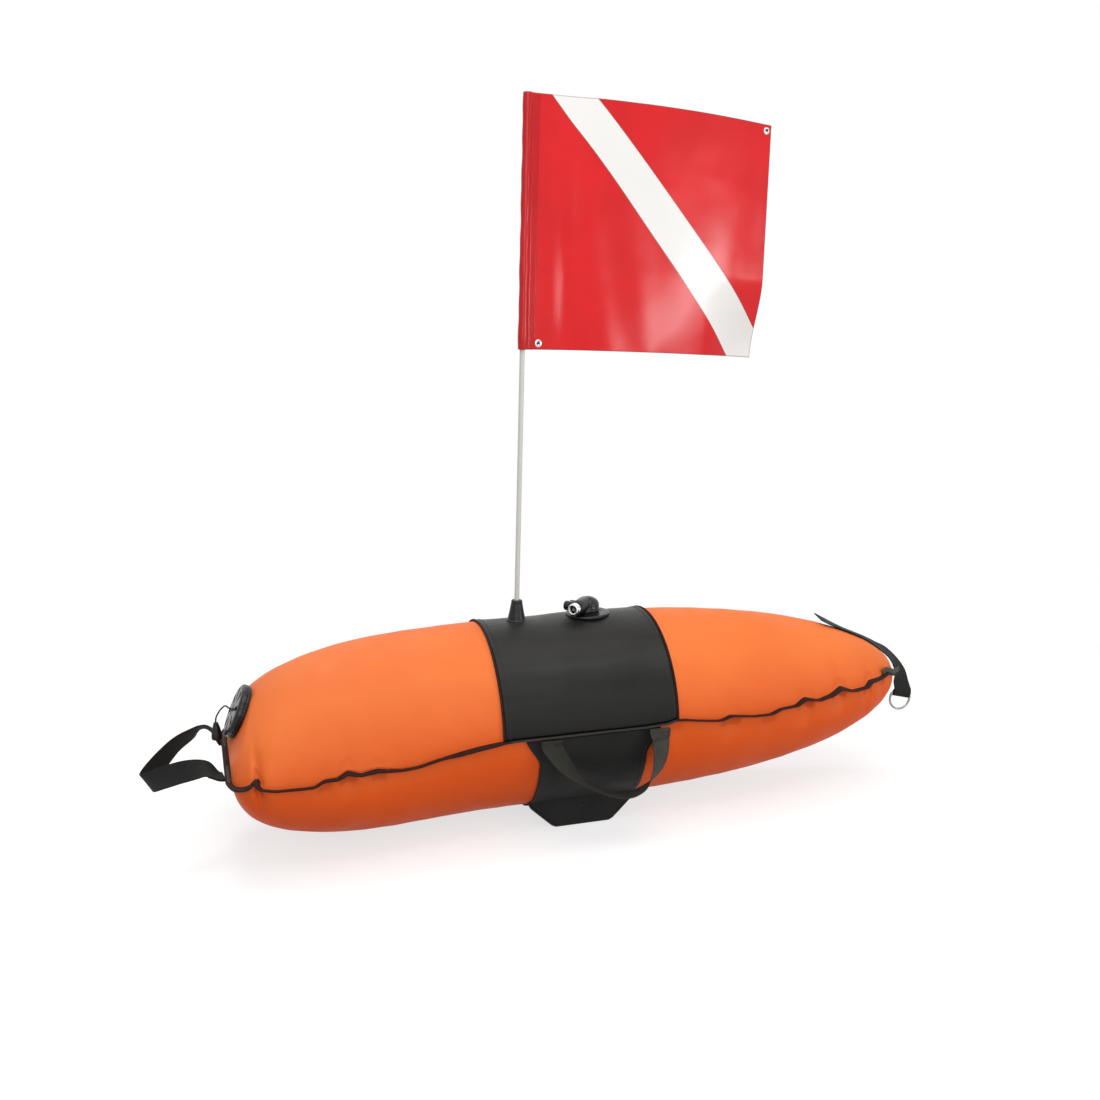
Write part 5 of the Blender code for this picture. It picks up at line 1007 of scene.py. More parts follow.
SEAM_PITCH, SEAM_STITCH = 4.0 * MM, 2.9 * MM
fin_up = unit(np.cross(loop_ahead, fin_side))
fin_up *= np.sign(fin_up[:, 2:])
stitch_line = loop + (0.55 * fin_length)[:, None] * fin_side
stitched("seam_stitches", "hull", [(stitch_line + side * 0.5 * TAPE_THICKNESS * fin_up, side * fin_up,
                                    SEAM_PITCH, SEAM_STITCH) for side in (1.0, -1.0)])
print("stitches round the seam:", int(travelled(loop)[-1] / SEAM_PITCH))

# %% [markdown]
# ## The saddle band
# A black band of heavier cloth lies over the middle of the float. It carries the mast and the inflator, so it
# is drawn into slight folds between them. Its front and rear edges are bound with dark piping.

# %% Saddle and piping
SADDLE_REAR, SADDLE_FRONT = -0.113, 0.109
SADDLE_THICKNESS = 1.5 * MM
SADDLE_OUTER = GAP + SADDLE_THICKNESS
SEAM_CLEAR = 0.5 * TAPE_THICKNESS + GAP
PIPING_RADIUS = 1.4 * MM


def saddle_folds(x, angle):
    """Three slanting ripples, calm at the edges and round each fitting, where the cloth is clamped flat."""
    run = RADIUS * (angle - 0.5 * math.pi)
    calm = s_curve((x - SADDLE_REAR) / 0.03) * s_curve((SADDLE_FRONT - x) / 0.03)
    ripple = (0.34 * np.sin(46.0 * x + 31.0 * run) + 0.30 * np.sin(-25.0 * x + 58.0 * run + 1.0)
              + 0.26 * np.sin(83.0 * x - 22.0 * run + 2.0)) * MM
    boot_calm = s_curve((np.hypot(x - MAST[0][0], run) - 0.012) / 0.016)
    valve_calm = s_curve((np.hypot(x - INFLATOR[0][0], run) - 0.027) / 0.018)
    return calm * boot_calm * valve_calm * (ripple - 0.5 * MM)


def band_grid(first_x, last_x, rows, columns, grow, folds):
    """Grid over the top from seam to seam, clear of the tape."""
    x = np.linspace(first_x, last_x, rows)
    clear = SEAM_CLEAR / RADIUS
    first, last = seam_angle(x, False) + clear, math.pi - seam_angle(x, True) - clear
    angle = first[:, None] + (last - first)[:, None] * np.linspace(0.0, 1.0, columns)
    x = np.broadcast_to(x[:, None], angle.shape)
    hem = 0.35 * MM * s_curve((7.5 * MM - np.minimum(x - first_x, last_x - x)) / (1.2 * MM))
    return plain_body(x, angle, grow + folds(x, angle) + hem), np.stack([x, RADIUS * angle], axis=-1)


grid, uv = band_grid(SADDLE_REAR, SADDLE_FRONT, 110, 130, SADDLE_OUTER, saddle_folds)
saddle = grid_piece("saddle_cloth", grid, uv, flip=True)
open_holes(saddle, [(MAST, SOCKET_HOLE), (INFLATOR, INFLATOR_HOLE)])
thicken(saddle, SADDLE_THICKNESS)
settle(saddle, "hull", "black_fabric", BLACK_CLOTH, "saddle_band")
turn = np.linspace(0.030, math.pi - 0.030, 120)
hem_rows = []
for name, edge, side in (("rear", SADDLE_REAR, -1.0), ("front", SADDLE_FRONT, 1.0)):
    path = plain_body(edge + side * (PIPING_RADIUS + GAP) + 0.0 * turn, turn, PIPING_RADIUS + 2.0 * GAP)
    piping = swept_piece("saddle_piping_cord_" + name, path, X_AXIS, circle(PIPING_RADIUS, 14))
    settle(piping, "hull", "binding_tape", TAPE, "saddle_piping_" + name)
    inner = plain_body(edge - side * 5.5 * MM + 0.0 * turn, turn, SADDLE_OUTER + 0.45 * MM)
    hem_rows.append((inner, outwards(turn), 3.4 * MM, 2.4 * MM))
stitched("saddle_hem_stitches", "hull", hem_rows)
print("saddle quads:", len(saddle.data.polygons))

# %% [markdown]
# ## The keel pouch
# Under the saddle hangs the pouch that holds the ballast: a black panel from seam to seam round the belly, and
# a flat-bottomed box sewn onto it. The panel flares out where it meets the seam. The box's side panels are
# sewn in with piping and bulge a little.

# %% Belly panel
POUCH_THICKNESS = 1.8 * MM
POUCH_SEAM_HALF, POUCH_WAIST_HALF, POUCH_WAIST_DEPTH = 0.0875, 0.070, 0.032


def pouch_half_length(depth):
    """Half the panel's length: wide at the seam, narrowing smoothly to its waist."""
    share = np.clip(depth / POUCH_WAIST_DEPTH, 0.0, 1.0)
    return POUCH_SEAM_HALF + (POUCH_WAIST_HALF - POUCH_SEAM_HALF) * (0.5 * share + 0.5 * s_curve(share))


def belly_panel(rows, columns):
    """Grid round the belly, its hems a little thicker."""
    clear = SEAM_CLEAR / RADIUS
    angle = np.linspace(math.pi + clear, 2.0 * math.pi - clear, columns)[None, :]
    share = np.linspace(-1.0, 1.0, rows)[:, None]
    half = pouch_half_length(-RADIUS * np.sin(angle))
    x = share * half
    hem = 0.4 * MM * s_curve((7.0 * MM - (half - np.abs(x))) / (1.2 * MM))
    ripple = 0.4 * MM * np.sin(52.0 * x + 9.0 * angle) * np.sin(7.0 * angle) * (1.0 - share ** 4)
    points = plain_body(x, angle + 0.0 * x, GAP + POUCH_THICKNESS + hem + ripple)
    return points, pairs(x, RADIUS * angle)


grid, uv = belly_panel(90, 130)
panel = thicken(grid_piece("keel_panel", grid, uv, flip=True), POUCH_THICKNESS)
settle(panel, "hull", "black_fabric", POUCH_CLOTH)
print("panel quads:", len(panel.data.polygons))

# %% [markdown]
# ## The ballast box
# The box is sewn from a bottom, two ends and two bulging sides, with piping in its seams. Its side view is one
# rounded outline carried across the keel. On the near and the far side it shrinks to a point, which closes the
# box, and the stitches of the panel's two hems are made here too.

# %% Ballast box
BOX_OUTLINE = np.array([(-37.0, 0.0), (37.0, 0.0), (72.5, 34.0), (72.5, 60.0), (-72.5, 60.0),
                        (-72.5, 34.0)]) * MM
BOX_HALF_WIDTH, BOX_ROUND, BOX_BULGE = 0.070, 6.0 * MM, 1.6 * MM
ROUND_SHARE = BOX_ROUND / 0.055    # share by which the outline is smaller where the rounding of an edge starts


def eased_loop(corners, radius, steps):
    """A closed polygon with rounded corners, from halfway between its last corner and its first."""
    halfway = 0.5 * (corners[:1] + corners[-1:])
    return eased(np.vstack([halfway, corners, halfway]), radius, steps)


def box_outline(count):
    """The box's side view with rounded corners, evenly spaced."""
    return resampled(eased_loop(BOX_OUTLINE, 9.0 * MM, 8), count + 1)[:-1]


def ballast_box():
    """Side view carried across the keel: bulging side panels, rounded edges, a flat bottom."""
    outline = box_outline(160)
    middle = np.array([0.0, 0.030])
    turn = np.linspace(0.0, 0.5 * math.pi, 7)
    cap_scale = np.linspace(0.02, 1.0, 16)[:-1] * (1.0 - ROUND_SHARE)
    round_scale = 1.0 - ROUND_SHARE * (1.0 - np.sin(turn))
    cap_y = BOX_HALF_WIDTH - BOX_BULGE * (cap_scale / cap_scale[-1]) ** 2
    round_y = BOX_HALF_WIDTH - BOX_BULGE - (BOX_ROUND - BOX_BULGE) * (1.0 - np.cos(turn))
    y = np.concatenate([cap_y, round_y, np.linspace(round_y[-1], 0.0, 14)[1:]])
    scale = np.concatenate([cap_scale, round_scale, np.ones(13)])
    y = np.concatenate([y, -y[-2::-1]])
    scale = np.concatenate([scale, scale[-2::-1]])
    flat = middle + (outline - middle)[None] * scale[:, None, None]
    waist = 0.9 * MM * np.sin(math.pi * np.clip(np.abs(y) / BOX_HALF_WIDTH, 0.0, 1.0))[:, None]
    side_pull = waist * (np.abs(outline[None, :, 0]) > 0.040) * np.sign(outline[None, :, 0])
    points = np.stack([flat[..., 0] - side_pull, np.broadcast_to(y[:, None], flat.shape[:2]),
                       np.maximum(flat[..., 1], 0.0)], axis=-1)
    return points, pairs(travelled(outline)[None, :], y[:, None])


grid, uv = ballast_box()
box = tidy_mesh(grid_piece("keel_box", grid, uv, close_columns=True))
settle(box, "hull", "black_fabric", POUCH_CLOTH, "keel_pouch")
flat = box_outline(200)
turn = np.linspace(1.04 * math.pi, 1.96 * math.pi, 90)
half = pouch_half_length(-RADIUS * np.sin(turn)) - 5.0 * MM
edge_rows = []
for name, side in (("near", -1.0), ("far", 1.0)):
    rim = np.column_stack([flat[:, 0], 0.0 * flat[:, 0] + side * (BOX_HALF_WIDTH - 3.4 * MM),
                           np.maximum(0.994 * flat[:, 1], 1.2 * MM)])
    cord = swept_piece("keel_piping_" + name, rim, Y_AXIS, circle(1.15 * MM, 10), True)
    settle(cord, "hull", "binding_tape", TAPE)
    hem_path = plain_body(side * half, turn, GAP + POUCH_THICKNESS + 0.45 * MM)
    edge_rows.append((hem_path, outwards(turn), 3.6 * MM, 2.6 * MM))
stitched("keel_hem_stitches", "hull", edge_rows)
print("box height in mm:", round(BOX_OUTLINE[:, 1].max() / MM, 1))

# %% [markdown]
# ## Webbing straps
# A strap is a flat bar carried along a few knots, with the direction of its width given at each knot so that
# it can twist. The knots repeat those of the solids. Where a strap is sewn down, a second layer lies on it and
# a box of stitches with a cross holds both.

# %% Strap helpers
WEB_WIDTH, WEB_THICKNESS = 27.0 * MM, 1.6 * MM
WEB_BAR = rounded_bar(WEB_WIDTH, WEB_THICKNESS, 16, 5)


def strap_path(knots, across, steps=10):
    """Path, width direction and face direction of a strap."""
    path = smooth_path(knots, steps)
    ahead = way_ahead(path)
    side = squared(unit(smooth_path(across, steps)), ahead)
    return path, side, np.cross(ahead, side)


def on_strap(strap, u, v, off):
    """Points on a strap, u across, v along and off its face, with the width and face directions there."""
    point, side, face = [read_at(v, travelled(strap[0]), part) for part in strap]
    return point + np.reshape(u, (-1, 1)) * side + off * face, side, face


def box_stitches(strap, start, end, off, half=10.5 * MM):
    """A rectangle and a cross between two lengths, on the face given by off's sign."""
    corners = np.array([(-half, start), (half, start), (half, end), (-half, end), (-half, start), (half, end),
                        (half, start), (-half, end)])
    rows = []
    for first, last in zip(corners[:-1], corners[1:]):
        line = first + (last - first) * np.linspace(0.0, 1.0, 12)[:, None]
        path, _, face = on_strap(strap, line[:, 0], line[:, 1], off)
        rows.append((path, face * np.sign(off), 2.6 * MM, 1.9 * MM))
    return rows


def strap_arrays(strap, start=0.0, end=None, off=0.0):
    """A length of strap, shifted off the path for a second layer."""
    end = travelled(strap[0])[-1] if end is None else end
    lengths = np.linspace(start, end, max(4, int(round((end - start) / (2.0 * MM)))))
    points, side, _ = on_strap(strap, 0.0, lengths, off)
    return swept_arrays(points, side, WEB_BAR)


def sewn_handle(name, body, finish, strap, lap, facing):
    """A strap with a second layer over both ends, lap long and on the side that facing gives, sewn through."""
    length = travelled(strap[0])[-1]
    layer = WEB_THICKNESS + 0.05 * MM
    parts, rows = [strap_arrays(strap)], []
    for start, end in ((1.0 * MM, lap), (length - lap, length - 1.0 * MM)):
        parts.append(strap_arrays(strap, start, end, facing * layer))
        rows += box_stitches(strap, start + 2.0 * MM, end - 2.0 * MM, facing * (0.5 * WEB_THICKNESS + layer))
    settle(closed_piece(name + "_webbing", join_arrays(parts)), body, "webbing", finish, name)
    stitched(name + "_stitches", body, rows)
    print(name.replace("_", " "), "length in mm:", round(1000.0 * length))


print("webbing width in mm:", round(WEB_WIDTH / MM))

# %% [markdown]
# ## The tail handle
# A loop of webbing sewn to the seam on both sides of the tail. It stands out behind the float, turns on its
# edge at the far end and folds back.

# %% Tail handle
TAIL_ROOT_X = TAIL_END - FIN - 0.6 * MM
TAIL_LEVEL = AXIS_HEIGHT - TAIL_DROP
TAIL_KNOTS = np.array([
    (0, -62, 0), (-6, -62, 1), (-22, -57, 9), (-46, -46, 5), (-72, -25, -8), (-91, -4, -20), (-84, 13, -12),
    (-58, 30, 10), (-36, 44, 19), (-21, 53, 23), (-9, 60, 15), (0, 62, 0)
]) * MM + (TAIL_ROOT_X, 0.0, TAIL_LEVEL)
TAIL_ACROSS = np.array([(0, 1, 0), (0, 1, 0), (0, 0.9, 0.45), (0, 0.5, 0.85), (-0.1, 0.1, 1), (-0.5, 0, 0.86),
                        (-0.5, -0.2, 0.85), (-0.3, -0.5, 0.8), (-0.3, -0.75, 0.6), (-0.2, -0.9, 0.35),
                        (0, -1, 0.05), (0, -1, 0)], dtype=float)
sewn_handle("tail_handle", "rear_handle", WEBBING, strap_path(TAIL_KNOTS, TAIL_ACROSS), 15.0 * MM, 1.0)

# %% [markdown]
# ## The side handle
# A second loop hangs flat against the float's near side, sewn to the seam in front of and behind the keel.

# %% Side handle
SIDE_Y = -(HALF_WIDTH + FIN + 0.6 * MM + 0.5 * WEB_THICKNESS)
SIDE_KNOTS = np.array([
    (-57, 0, 0), (-57, 0, -5), (-55, -1, -11), (-43, -5, -30), (-21, -5, -53), (6, -5, -72), (34, -5, -81),
    (58, -5, -75), (73, -5, -60), (80.5, -5, -43), (83, -4, -25), (83.5, -1, -12), (83, 0, -5), (83, 0, 0)
]) * MM + (0.0, SIDE_Y, AXIS_HEIGHT)
SIDE_ACROSS = np.array([
    (1, 0, 0), (1, 0, 0), (0.97, 0.25, 0), (0.75, 0.6, 0.15), (0.3, 0.95, 0), (0.05, 1, -0.1), (0, 1, -0.12),
    (0.25, 0.95, -0.12), (0.62, 0.75, -0.1), (0.82, 0.55, -0.1), (0.9, 0.4, 0), (0.95, 0.3, 0), (1, 0, 0),
    (1, 0, 0)], dtype=float)
sewn_handle("side_handle", "carry_handle", LIT_WEBBING, strap_path(SIDE_KNOTS, SIDE_ACROSS), 13.0 * MM, -1.0)

# %% [markdown]
# ## Tabs at both ends
# Where the tail handle meets the seam, the tape is covered by a folded patch of olive webbing, sewn through.
# At the nose a narrow tab of the same webbing ties the seam's end to the strap.

# %% Tabs
def tab_arrays(knots, side, width, thickness):
    """A bar of webbing along a smooth path."""
    return swept_arrays(smooth_path(knots, 8), side, rounded_bar(width, thickness, 8, 4))


tail_tabs, tab_rows = [], []
for sign in (-1.0, 1.0):
    knots = np.array([(TAIL_END - 3.0 * MM, sign * across * MM, TAIL_LEVEL) for across in (89, 70, 52, 35)])
    tail_tabs.append(tab_arrays(knots, X_AXIS, 5.0 * MM, 4.8 * MM))
    tab_rows.append((smooth_path(knots + 2.6 * MM * Z_AXIS, 8)[2:-2], Z_AXIS, 3.2 * MM, 2.2 * MM))
settle(closed_piece("tail_tab_webbing", join_arrays(tail_tabs)), "hull", "webbing", TAB_WEBBING)
stitched("tail_tab_stitches", "hull", tab_rows)


def beside_nose(x, rise, off):
    """Points off the near side of the nose, above the smooth seam: an ellipse's share of the half width."""
    wide = half_width(x) + off
    across = -wide * np.sqrt(np.clip(1.0 - (rise / (wide + 1.0 * MM)) ** 2, 0.0, None))
    return np.column_stack([x, across, seam_height(x) + rise])


NOSE_TAB = np.array([(439.0, 18.5, 2.6), (447.7, 20.0, 3.2), (456.0, 16.5, 3.4), (464.0, 12.5, 3.4),
                     (473.0, 8.0, 3.6)]) * MM
nose_tab_knots = np.vstack([beside_nose(*NOSE_TAB.T), (0.4850, -0.0120, AXIS_HEIGHT - 0.5 * MM),
                            (0.4905, -0.0085, AXIS_HEIGHT + 0.5 * MM)])
piece = closed_piece("nose_tab_webbing", tab_arrays(nose_tab_knots, Z_AXIS, 7.5 * MM, 2.0 * MM))
settle(piece, "hull", "webbing", TAB_WEBBING)
print("tab rows of stitches:", len(tab_rows))

# %% [markdown]
# ## The nose strap and its ring
# A strap lies along the top of the nose, hangs over the tip and wraps round the straight bar of a D-shaped
# ring, where it is sewn back onto itself.

# %% Nose strap
RING_WIRE, RING_HALF_WIDTH, RING_DEPTH = 1.6 * MM, 15.6 * MM, 21.5 * MM
RING_SLANT = math.radians(14.7)
RING = place_frame((0.500, 0.0, AXIS_HEIGHT - 0.042), (math.cos(RING_SLANT), 0.0, -math.sin(RING_SLANT)),
                   Z_AXIS)


def nose_knots():
    """Knots over the nose, then down to the ring's bar and round it."""
    x = np.array([0.366, 0.380, 0.396, 0.412, 0.430, 0.446])
    extra = np.array([7.0, 3.6, 1.2, 0.0, 0.0, 0.6]) * MM
    crown = plain_body(x, np.full(6, 0.5 * math.pi))[:, 2] + 0.5 * WEB_THICKNESS + 2.0 * GAP + extra
    over = np.column_stack([x, np.zeros(6), crown])
    hanging = np.array([(460, 0, 34), (476, 0, 22.5), (488, 0, 8), (496, 0, -8), (499, 0, -22)]) * MM
    hanging[:, 2] += AXIS_HEIGHT
    wrap = RING_WIRE + 0.4 * MM + 0.5 * WEB_THICKNESS
    doubled = wrap - WEB_THICKNESS - GAP
    turn = np.linspace(0.0, math.pi, 5)
    hem = np.vstack([[(2.0 * wrap, wrap)], np.column_stack([-wrap * np.sin(turn), wrap * np.cos(turn)]),
                     [(1.8 * wrap, 0.0), (2.8 * wrap, doubled), (4.0 * wrap, doubled)]])
    return np.vstack([over, hanging, moved(np.column_stack([hem, np.zeros(len(hem))]), RING)])


NOSE_ACROSS = np.array([(0, 0.98, 0.18), (0, 0.98, 0.16), (0, 0.99, 0.08), (0, 1, 0.03), (0, 1, 0.06),
                        (0, 0.98, 0.18), (0.05, 0.95, 0.28), (0.28, 0.90, 0.34), (0.66, 0.75, 0.1),
                        (0.88, 0.46, -0.1), (0.96, 0.2, -0.2)]
                       + [tuple(RING[1][:, 2])] * 9, dtype=float)
nose_strap = strap_path(nose_knots(), NOSE_ACROSS)
piece = closed_piece("nose_strap_webbing", strap_arrays(nose_strap))
settle(piece, "hull", "webbing", WEBBING, "nose_strap")
print("nose strap length in mm:", round(1000.0 * travelled(nose_strap[0])[-1]))

# %% [markdown]
# ## The ring
# A D-shaped ring of steel wire hangs in the strap's loop, where a tow line is clipped on. Its outline is a
# straight bar and a bow with eased corners, and a round section is carried along it.

# %% Ring
drop = RING_DEPTH - RING_HALF_WIDTH
turn = np.linspace(0.0, math.pi, 48)
bow = np.stack([-drop - RING_HALF_WIDTH * np.sin(turn), RING_HALF_WIDTH * np.cos(turn)], axis=1)
corners = np.vstack([(0.0, RING_HALF_WIDTH), bow, (0.0, -RING_HALF_WIDTH)])
flat_ring = resampled(eased_loop(corners, 3.0 * MM, 6), 161)[:-1]
ring_path = moved(np.insert(flat_ring, 1, 0.0, axis=1), RING)
ring = swept_piece("tow_ring_wire", ring_path, RING[1][:, 1], circle(RING_WIRE, 16), True)
settle(ring, "tow_ring", "stainless", STEEL, "nose_ring")
print("ring width in mm:", round(2000.0 * RING_HALF_WIDTH, 1))

# %% [markdown]
# ## The mast
# A white fibreglass pole stands in a blind socket inside the float. A rubber boot on the saddle holds it
# upright: a thin foot, a cone and a rolled lip.

# %% Boot and pole
POLE_RADIUS, POLE_FOOT, FLAG_BOTTOM, FLAG_HEIGHT, FLAG_LENGTH = 3.175 * MM, -61.7 * MM, 0.346, 0.305, 0.356
POLE_TOP = FLAG_BOTTOM + FLAG_HEIGHT - 3.1 * MM


def saddle_level(y):
    """Height of the saddle's top over its crown at a distance y from the middle: an ellipse."""
    return 122.8 * MM * (np.sqrt(1.0 - (y / (125.8 * MM)) ** 2) - 1.0)


def resting(piece, place, reach):
    """Let a piece's underside follow the saddle: points under it and further out than reach come up to it."""
    points = corner_points(piece)
    local = (points - place[0]) @ place[1]
    outer = np.hypot(local[:, 0], local[:, 1]) > reach
    lowest = place[0][2] + saddle_level(points[:, 1]) - 0.15 * MM
    points[:, 2] = np.where(outer & (points[:, 2] < lowest), lowest, points[:, 2])
    piece.data.vertices.foreach_set("co", points.ravel())
    piece.data.update()
    return piece


boot_profile = np.array([(5.9, -2.2), (12.9, -2.2), (12.9, 0.3), (12.2, 0.9), (11.5, 1.4), (10.9, 4.5),
                         (9.3, 12.0), (7.9, 19.8), (7.3, 22.6), (7.3, 25.0), (6.6, 26.4), (4.8, 27.0),
                         (3.5, 26.2), (3.5, 13.5), (5.9, 13.5), (5.9, -2.2)]) * MM
boot = resting(lathe_piece("mast_boot_cone", boot_profile, MAST, 64, 0.8 * MM), MAST, 5.8 * MM)
settle(boot, "hull", "rubber", RUBBER, "mast_boot")
pole_profile = [(0.0, POLE_FOOT), (POLE_RADIUS, POLE_FOOT)]
pole_profile += [(POLE_RADIUS, z) for z in np.linspace(-0.05, POLE_TOP - 0.01, 24)]
pole_profile += [(POLE_RADIUS, POLE_TOP), (0.0, POLE_TOP)]
pole = lathe_piece("flag_pole", pole_profile, MAST, 40, 0.3 * MM)
settle(pole, "mast", "pole_white", POLE_GLOSS, "flag_mast")
print("pole length in mm:", round((POLE_TOP - POLE_FOOT) / MM))

# %% [markdown]
# ## The flag
# The flag is a sheet of coated vinyl, red with one white diagonal stripe: the usual sign for a diver below.
# It hangs from a sleeve on the pole with a soft upright fold beside it, a slow bow across and a curl at the
# lower fly corner. The stripe is worked out in the material from the sheet's own two coordinates.

# %% Vinyl finish
def stripe_share(tree, u, v):
    """1 inside the stripe: between two slanting lines given by where they cross the top and bottom edges."""
    share_u = calc(tree, "DIVIDE", u, FLAG_LENGTH)
    fall = calc(tree, "SUBTRACT", 1.0, calc(tree, "DIVIDE", v, FLAG_HEIGHT))
    first = calc(tree, "SUBTRACT", share_u, calc(tree, "MULTIPLY_ADD", fall, 0.779, 0.088))
    second = calc(tree, "SUBTRACT", calc(tree, "MULTIPLY_ADD", fall, 0.856, 0.256), share_u)
    return calc(tree, "MINIMUM", first, second)


def vinyl(name, red, white, striped):
    """Glossy vinyl on a fine woven base, with a broad uneven sheen and, where striped, a white band."""
    made, tree, shader = new_finish(name, red, 0.16, Specular_IOR_Level=0.26)
    u, v = uv_axes(tree)
    cloudy = stretched(tree, object_noise(tree, 9.0, 3.0), 0.35, 0.65)
    worn = tuple(0.86 * c for c in red)
    colour = mixed(tree, cloudy, red, worn)
    if striped:
        inside = stripe_share(tree, u, v)
        band = stretched(tree, inside, -0.0006, 0.0006)
        edge = stretched(tree, calc(tree, "ABSOLUTE", inside), 0.0014, 0.0034, 0.75, 0.0)
        colour = mixed(tree, edge, mixed(tree, band, colour, white), tuple(0.45 * c for c in red))
        # Painted shade along the sheet's cut edges.
        inward = calc(tree, "MINIMUM", calc(tree, "MINIMUM", v, calc(tree, "SUBTRACT", FLAG_HEIGHT, v)),
                      calc(tree, "SUBTRACT", FLAG_LENGTH, u))
        rim = stretched(tree, inward, 0.5 * MM, 1.5 * MM, 0.6, 0.0)
        colour = mixed(tree, rim, colour, (0.16, 0.05, 0.05))
    tree.links.new(colour, shader.inputs["Base Color"])
    base = threads(tree, 0.9 * MM, 0.9 * MM)
    wavy = object_noise(tree, 14.0, 2.0, 0.4)
    tree.links.new(stretched(tree, object_noise(tree, 30.0), 0.3, 0.7, 0.13, 0.20), shader.inputs["Roughness"])
    bumped(tree, shader, (wavy, 0.9 * MM), (base, 0.012 * MM))
    return made


FLAG_VINYL = vinyl("striped_vinyl", (0.80, 0.014, 0.018), (0.95, 0.93, 0.90), True)
# Painted shade: a darker copy of the flag's vinyl for the sleeve, its top and the hem stitches.
SHADED_HEM_VINYL = vinyl("shaded_red_vinyl", (0.64, 0.011, 0.015), (0.90, 0.87, 0.82), False)
print("vinyl finishes:", FLAG_VINYL.name, SHADED_HEM_VINYL.name)

# %% [markdown]
# ## The sheet's shape
# The sheet is a function of the distance along it and the share of its height. The rod spreads it flat, so
# only a fold beside the sleeve, a slow bow, the curl and soft wrinkles are added to a plane. The grid is finer
# at the edges, where the two eyelets are set.

# %% Sheet
SLEEVE_RADIUS, SLEEVE_HEM, FLAG_THICKNESS = 5.475 * MM, 16.0 * MM, 0.55 * MM
EYELET_EDGE = 7.8 * MM


def flag_depth(along, up):
    """Fold beside the sleeve minus a slow bow, eased in from the hem, plus the curl of the low fly corner."""
    fold = 4.5 * MM * np.exp(-((along - 0.055) / 0.0225) ** 2) * (0.6 + 0.4 * up)
    bow = 12.0 * MM * np.sin(math.pi * np.clip(along / FLAG_LENGTH, 0.0, 1.0)) * (0.7 + 0.3 * up)
    curl = 22.0 * MM * s_curve((along / FLAG_LENGTH - 0.72) / 0.28) * s_curve((0.35 - up) / 0.35)
    return s_curve((along - SLEEVE_HEM) / 0.055) * (fold - bow) + curl


def flag_ripple(along, up):
    """Soft wrinkles that fan out from the hoist, calm at both eyelets."""
    calm = s_curve((along - 0.030) / 0.030) * s_curve((FLAG_LENGTH - 0.014 - along) / 0.05)
    fan = np.sin(95.0 * along + 7.0 * up) * np.exp(-along / 0.12)
    slow = np.sin(21.0 * along - 5.0 * up + 1.0) * np.sin(3.2 * up + 0.4)
    return calm * (0.9 * fan + 1.1 * slow) * MM


def flag_point(along, up, off=0.0):
    """Point of the sheet in the flag's frame: the fly edge comes in by 7 mm and down by 10 to 13 mm."""
    share = np.clip(along / FLAG_LENGTH, 0.0, 1.0)
    depth = flag_depth(along, up) + flag_ripple(along, up) + off
    level = FLAG_BOTTOM + FLAG_HEIGHT * up - (10.0 + 3.0 * up) * MM * share ** 2
    return np.stack([along - 7.0 * MM * share ** 2, depth, level], axis=-1)


def fine_steps(start, first, second, end, fine, coarse):
    """Stations close together at both ends and further apart between them."""
    return np.concatenate([np.arange(start, first, fine), np.arange(first, second, coarse),
                           np.linspace(second, end, int(round((end - second) / fine)) + 1)])


along = fine_steps(SLEEVE_RADIUS + GAP, 30.0 * MM, 0.340, FLAG_LENGTH, 1.0 * MM, 2.6 * MM)
up = fine_steps(0.0, 14.0 * MM, 0.291, FLAG_HEIGHT, 1.0 * MM, 2.6 * MM) / FLAG_HEIGHT
grid_along, grid_up = np.meshgrid(along, up, indexing="ij")
uv = np.stack([grid_along, grid_up * FLAG_HEIGHT], axis=-1)
sheet = grid_piece("flag_vinyl_sheet", moved(flag_point(grid_along, grid_up), FLAG), uv)


def eyelet_place(along, up):
    """Frame of an eyelet: its centre on the sheet and the sheet's normal there."""
    here, step = flag_point(along, up), 1.0 * MM
    normal = np.cross(flag_point(along, up + step) - here, flag_point(along + step, up) - here)
    return place_frame(moved(here, FLAG), FLAG[1] @ unit(normal))


LOW_ALONG = SLEEVE_HEM + 5.6 * MM
EYELETS = {"fly_top": eyelet_place(FLAG_LENGTH - EYELET_EDGE, 1.0 - EYELET_EDGE / FLAG_HEIGHT),
           "hoist_bottom": eyelet_place(LOW_ALONG, EYELET_EDGE / FLAG_HEIGHT)}
open_holes(sheet, [(place, 2.5 * MM) for place in EYELETS.values()])
thicken(sheet, FLAG_THICKNESS, 0.0)
settle(sheet, "flag", "flag_red", FLAG_VINYL, "flag_sheet")
print("flag rows and columns:", len(up), len(along))

# %% [markdown]
# ## Sleeve, eyelets and the springy rod
# The sheet's hoist edge is folded round the pole and sewn down, with the top closed so that it can't slip
# down. Two pressed eyelets hold the tips of a thin springy rod that runs behind the sheet from the lower
# hoist corner to the upper fly corner and keeps the flag spread without wind.

# %% Sleeve and hem
def sleeve_outline():
    """Section of the folded hem: along the sheet, round the pole and back along the other side."""
    layer = 0.5 * FLAG_THICKNESS + 0.35 * MM + GAP
    start = math.asin(layer / SLEEVE_RADIUS)
    turn = np.linspace(start, 2.0 * math.pi - start, 40)
    loop = SLEEVE_RADIUS * np.stack([np.cos(turn), np.sin(turn)], axis=1)
    tail = np.column_stack([np.linspace(SLEEVE_HEM, 8.2 * MM, 8), np.full(8, layer)])
    return np.vstack([tail, loop, tail[::-1] * (1.0, -1.0)])


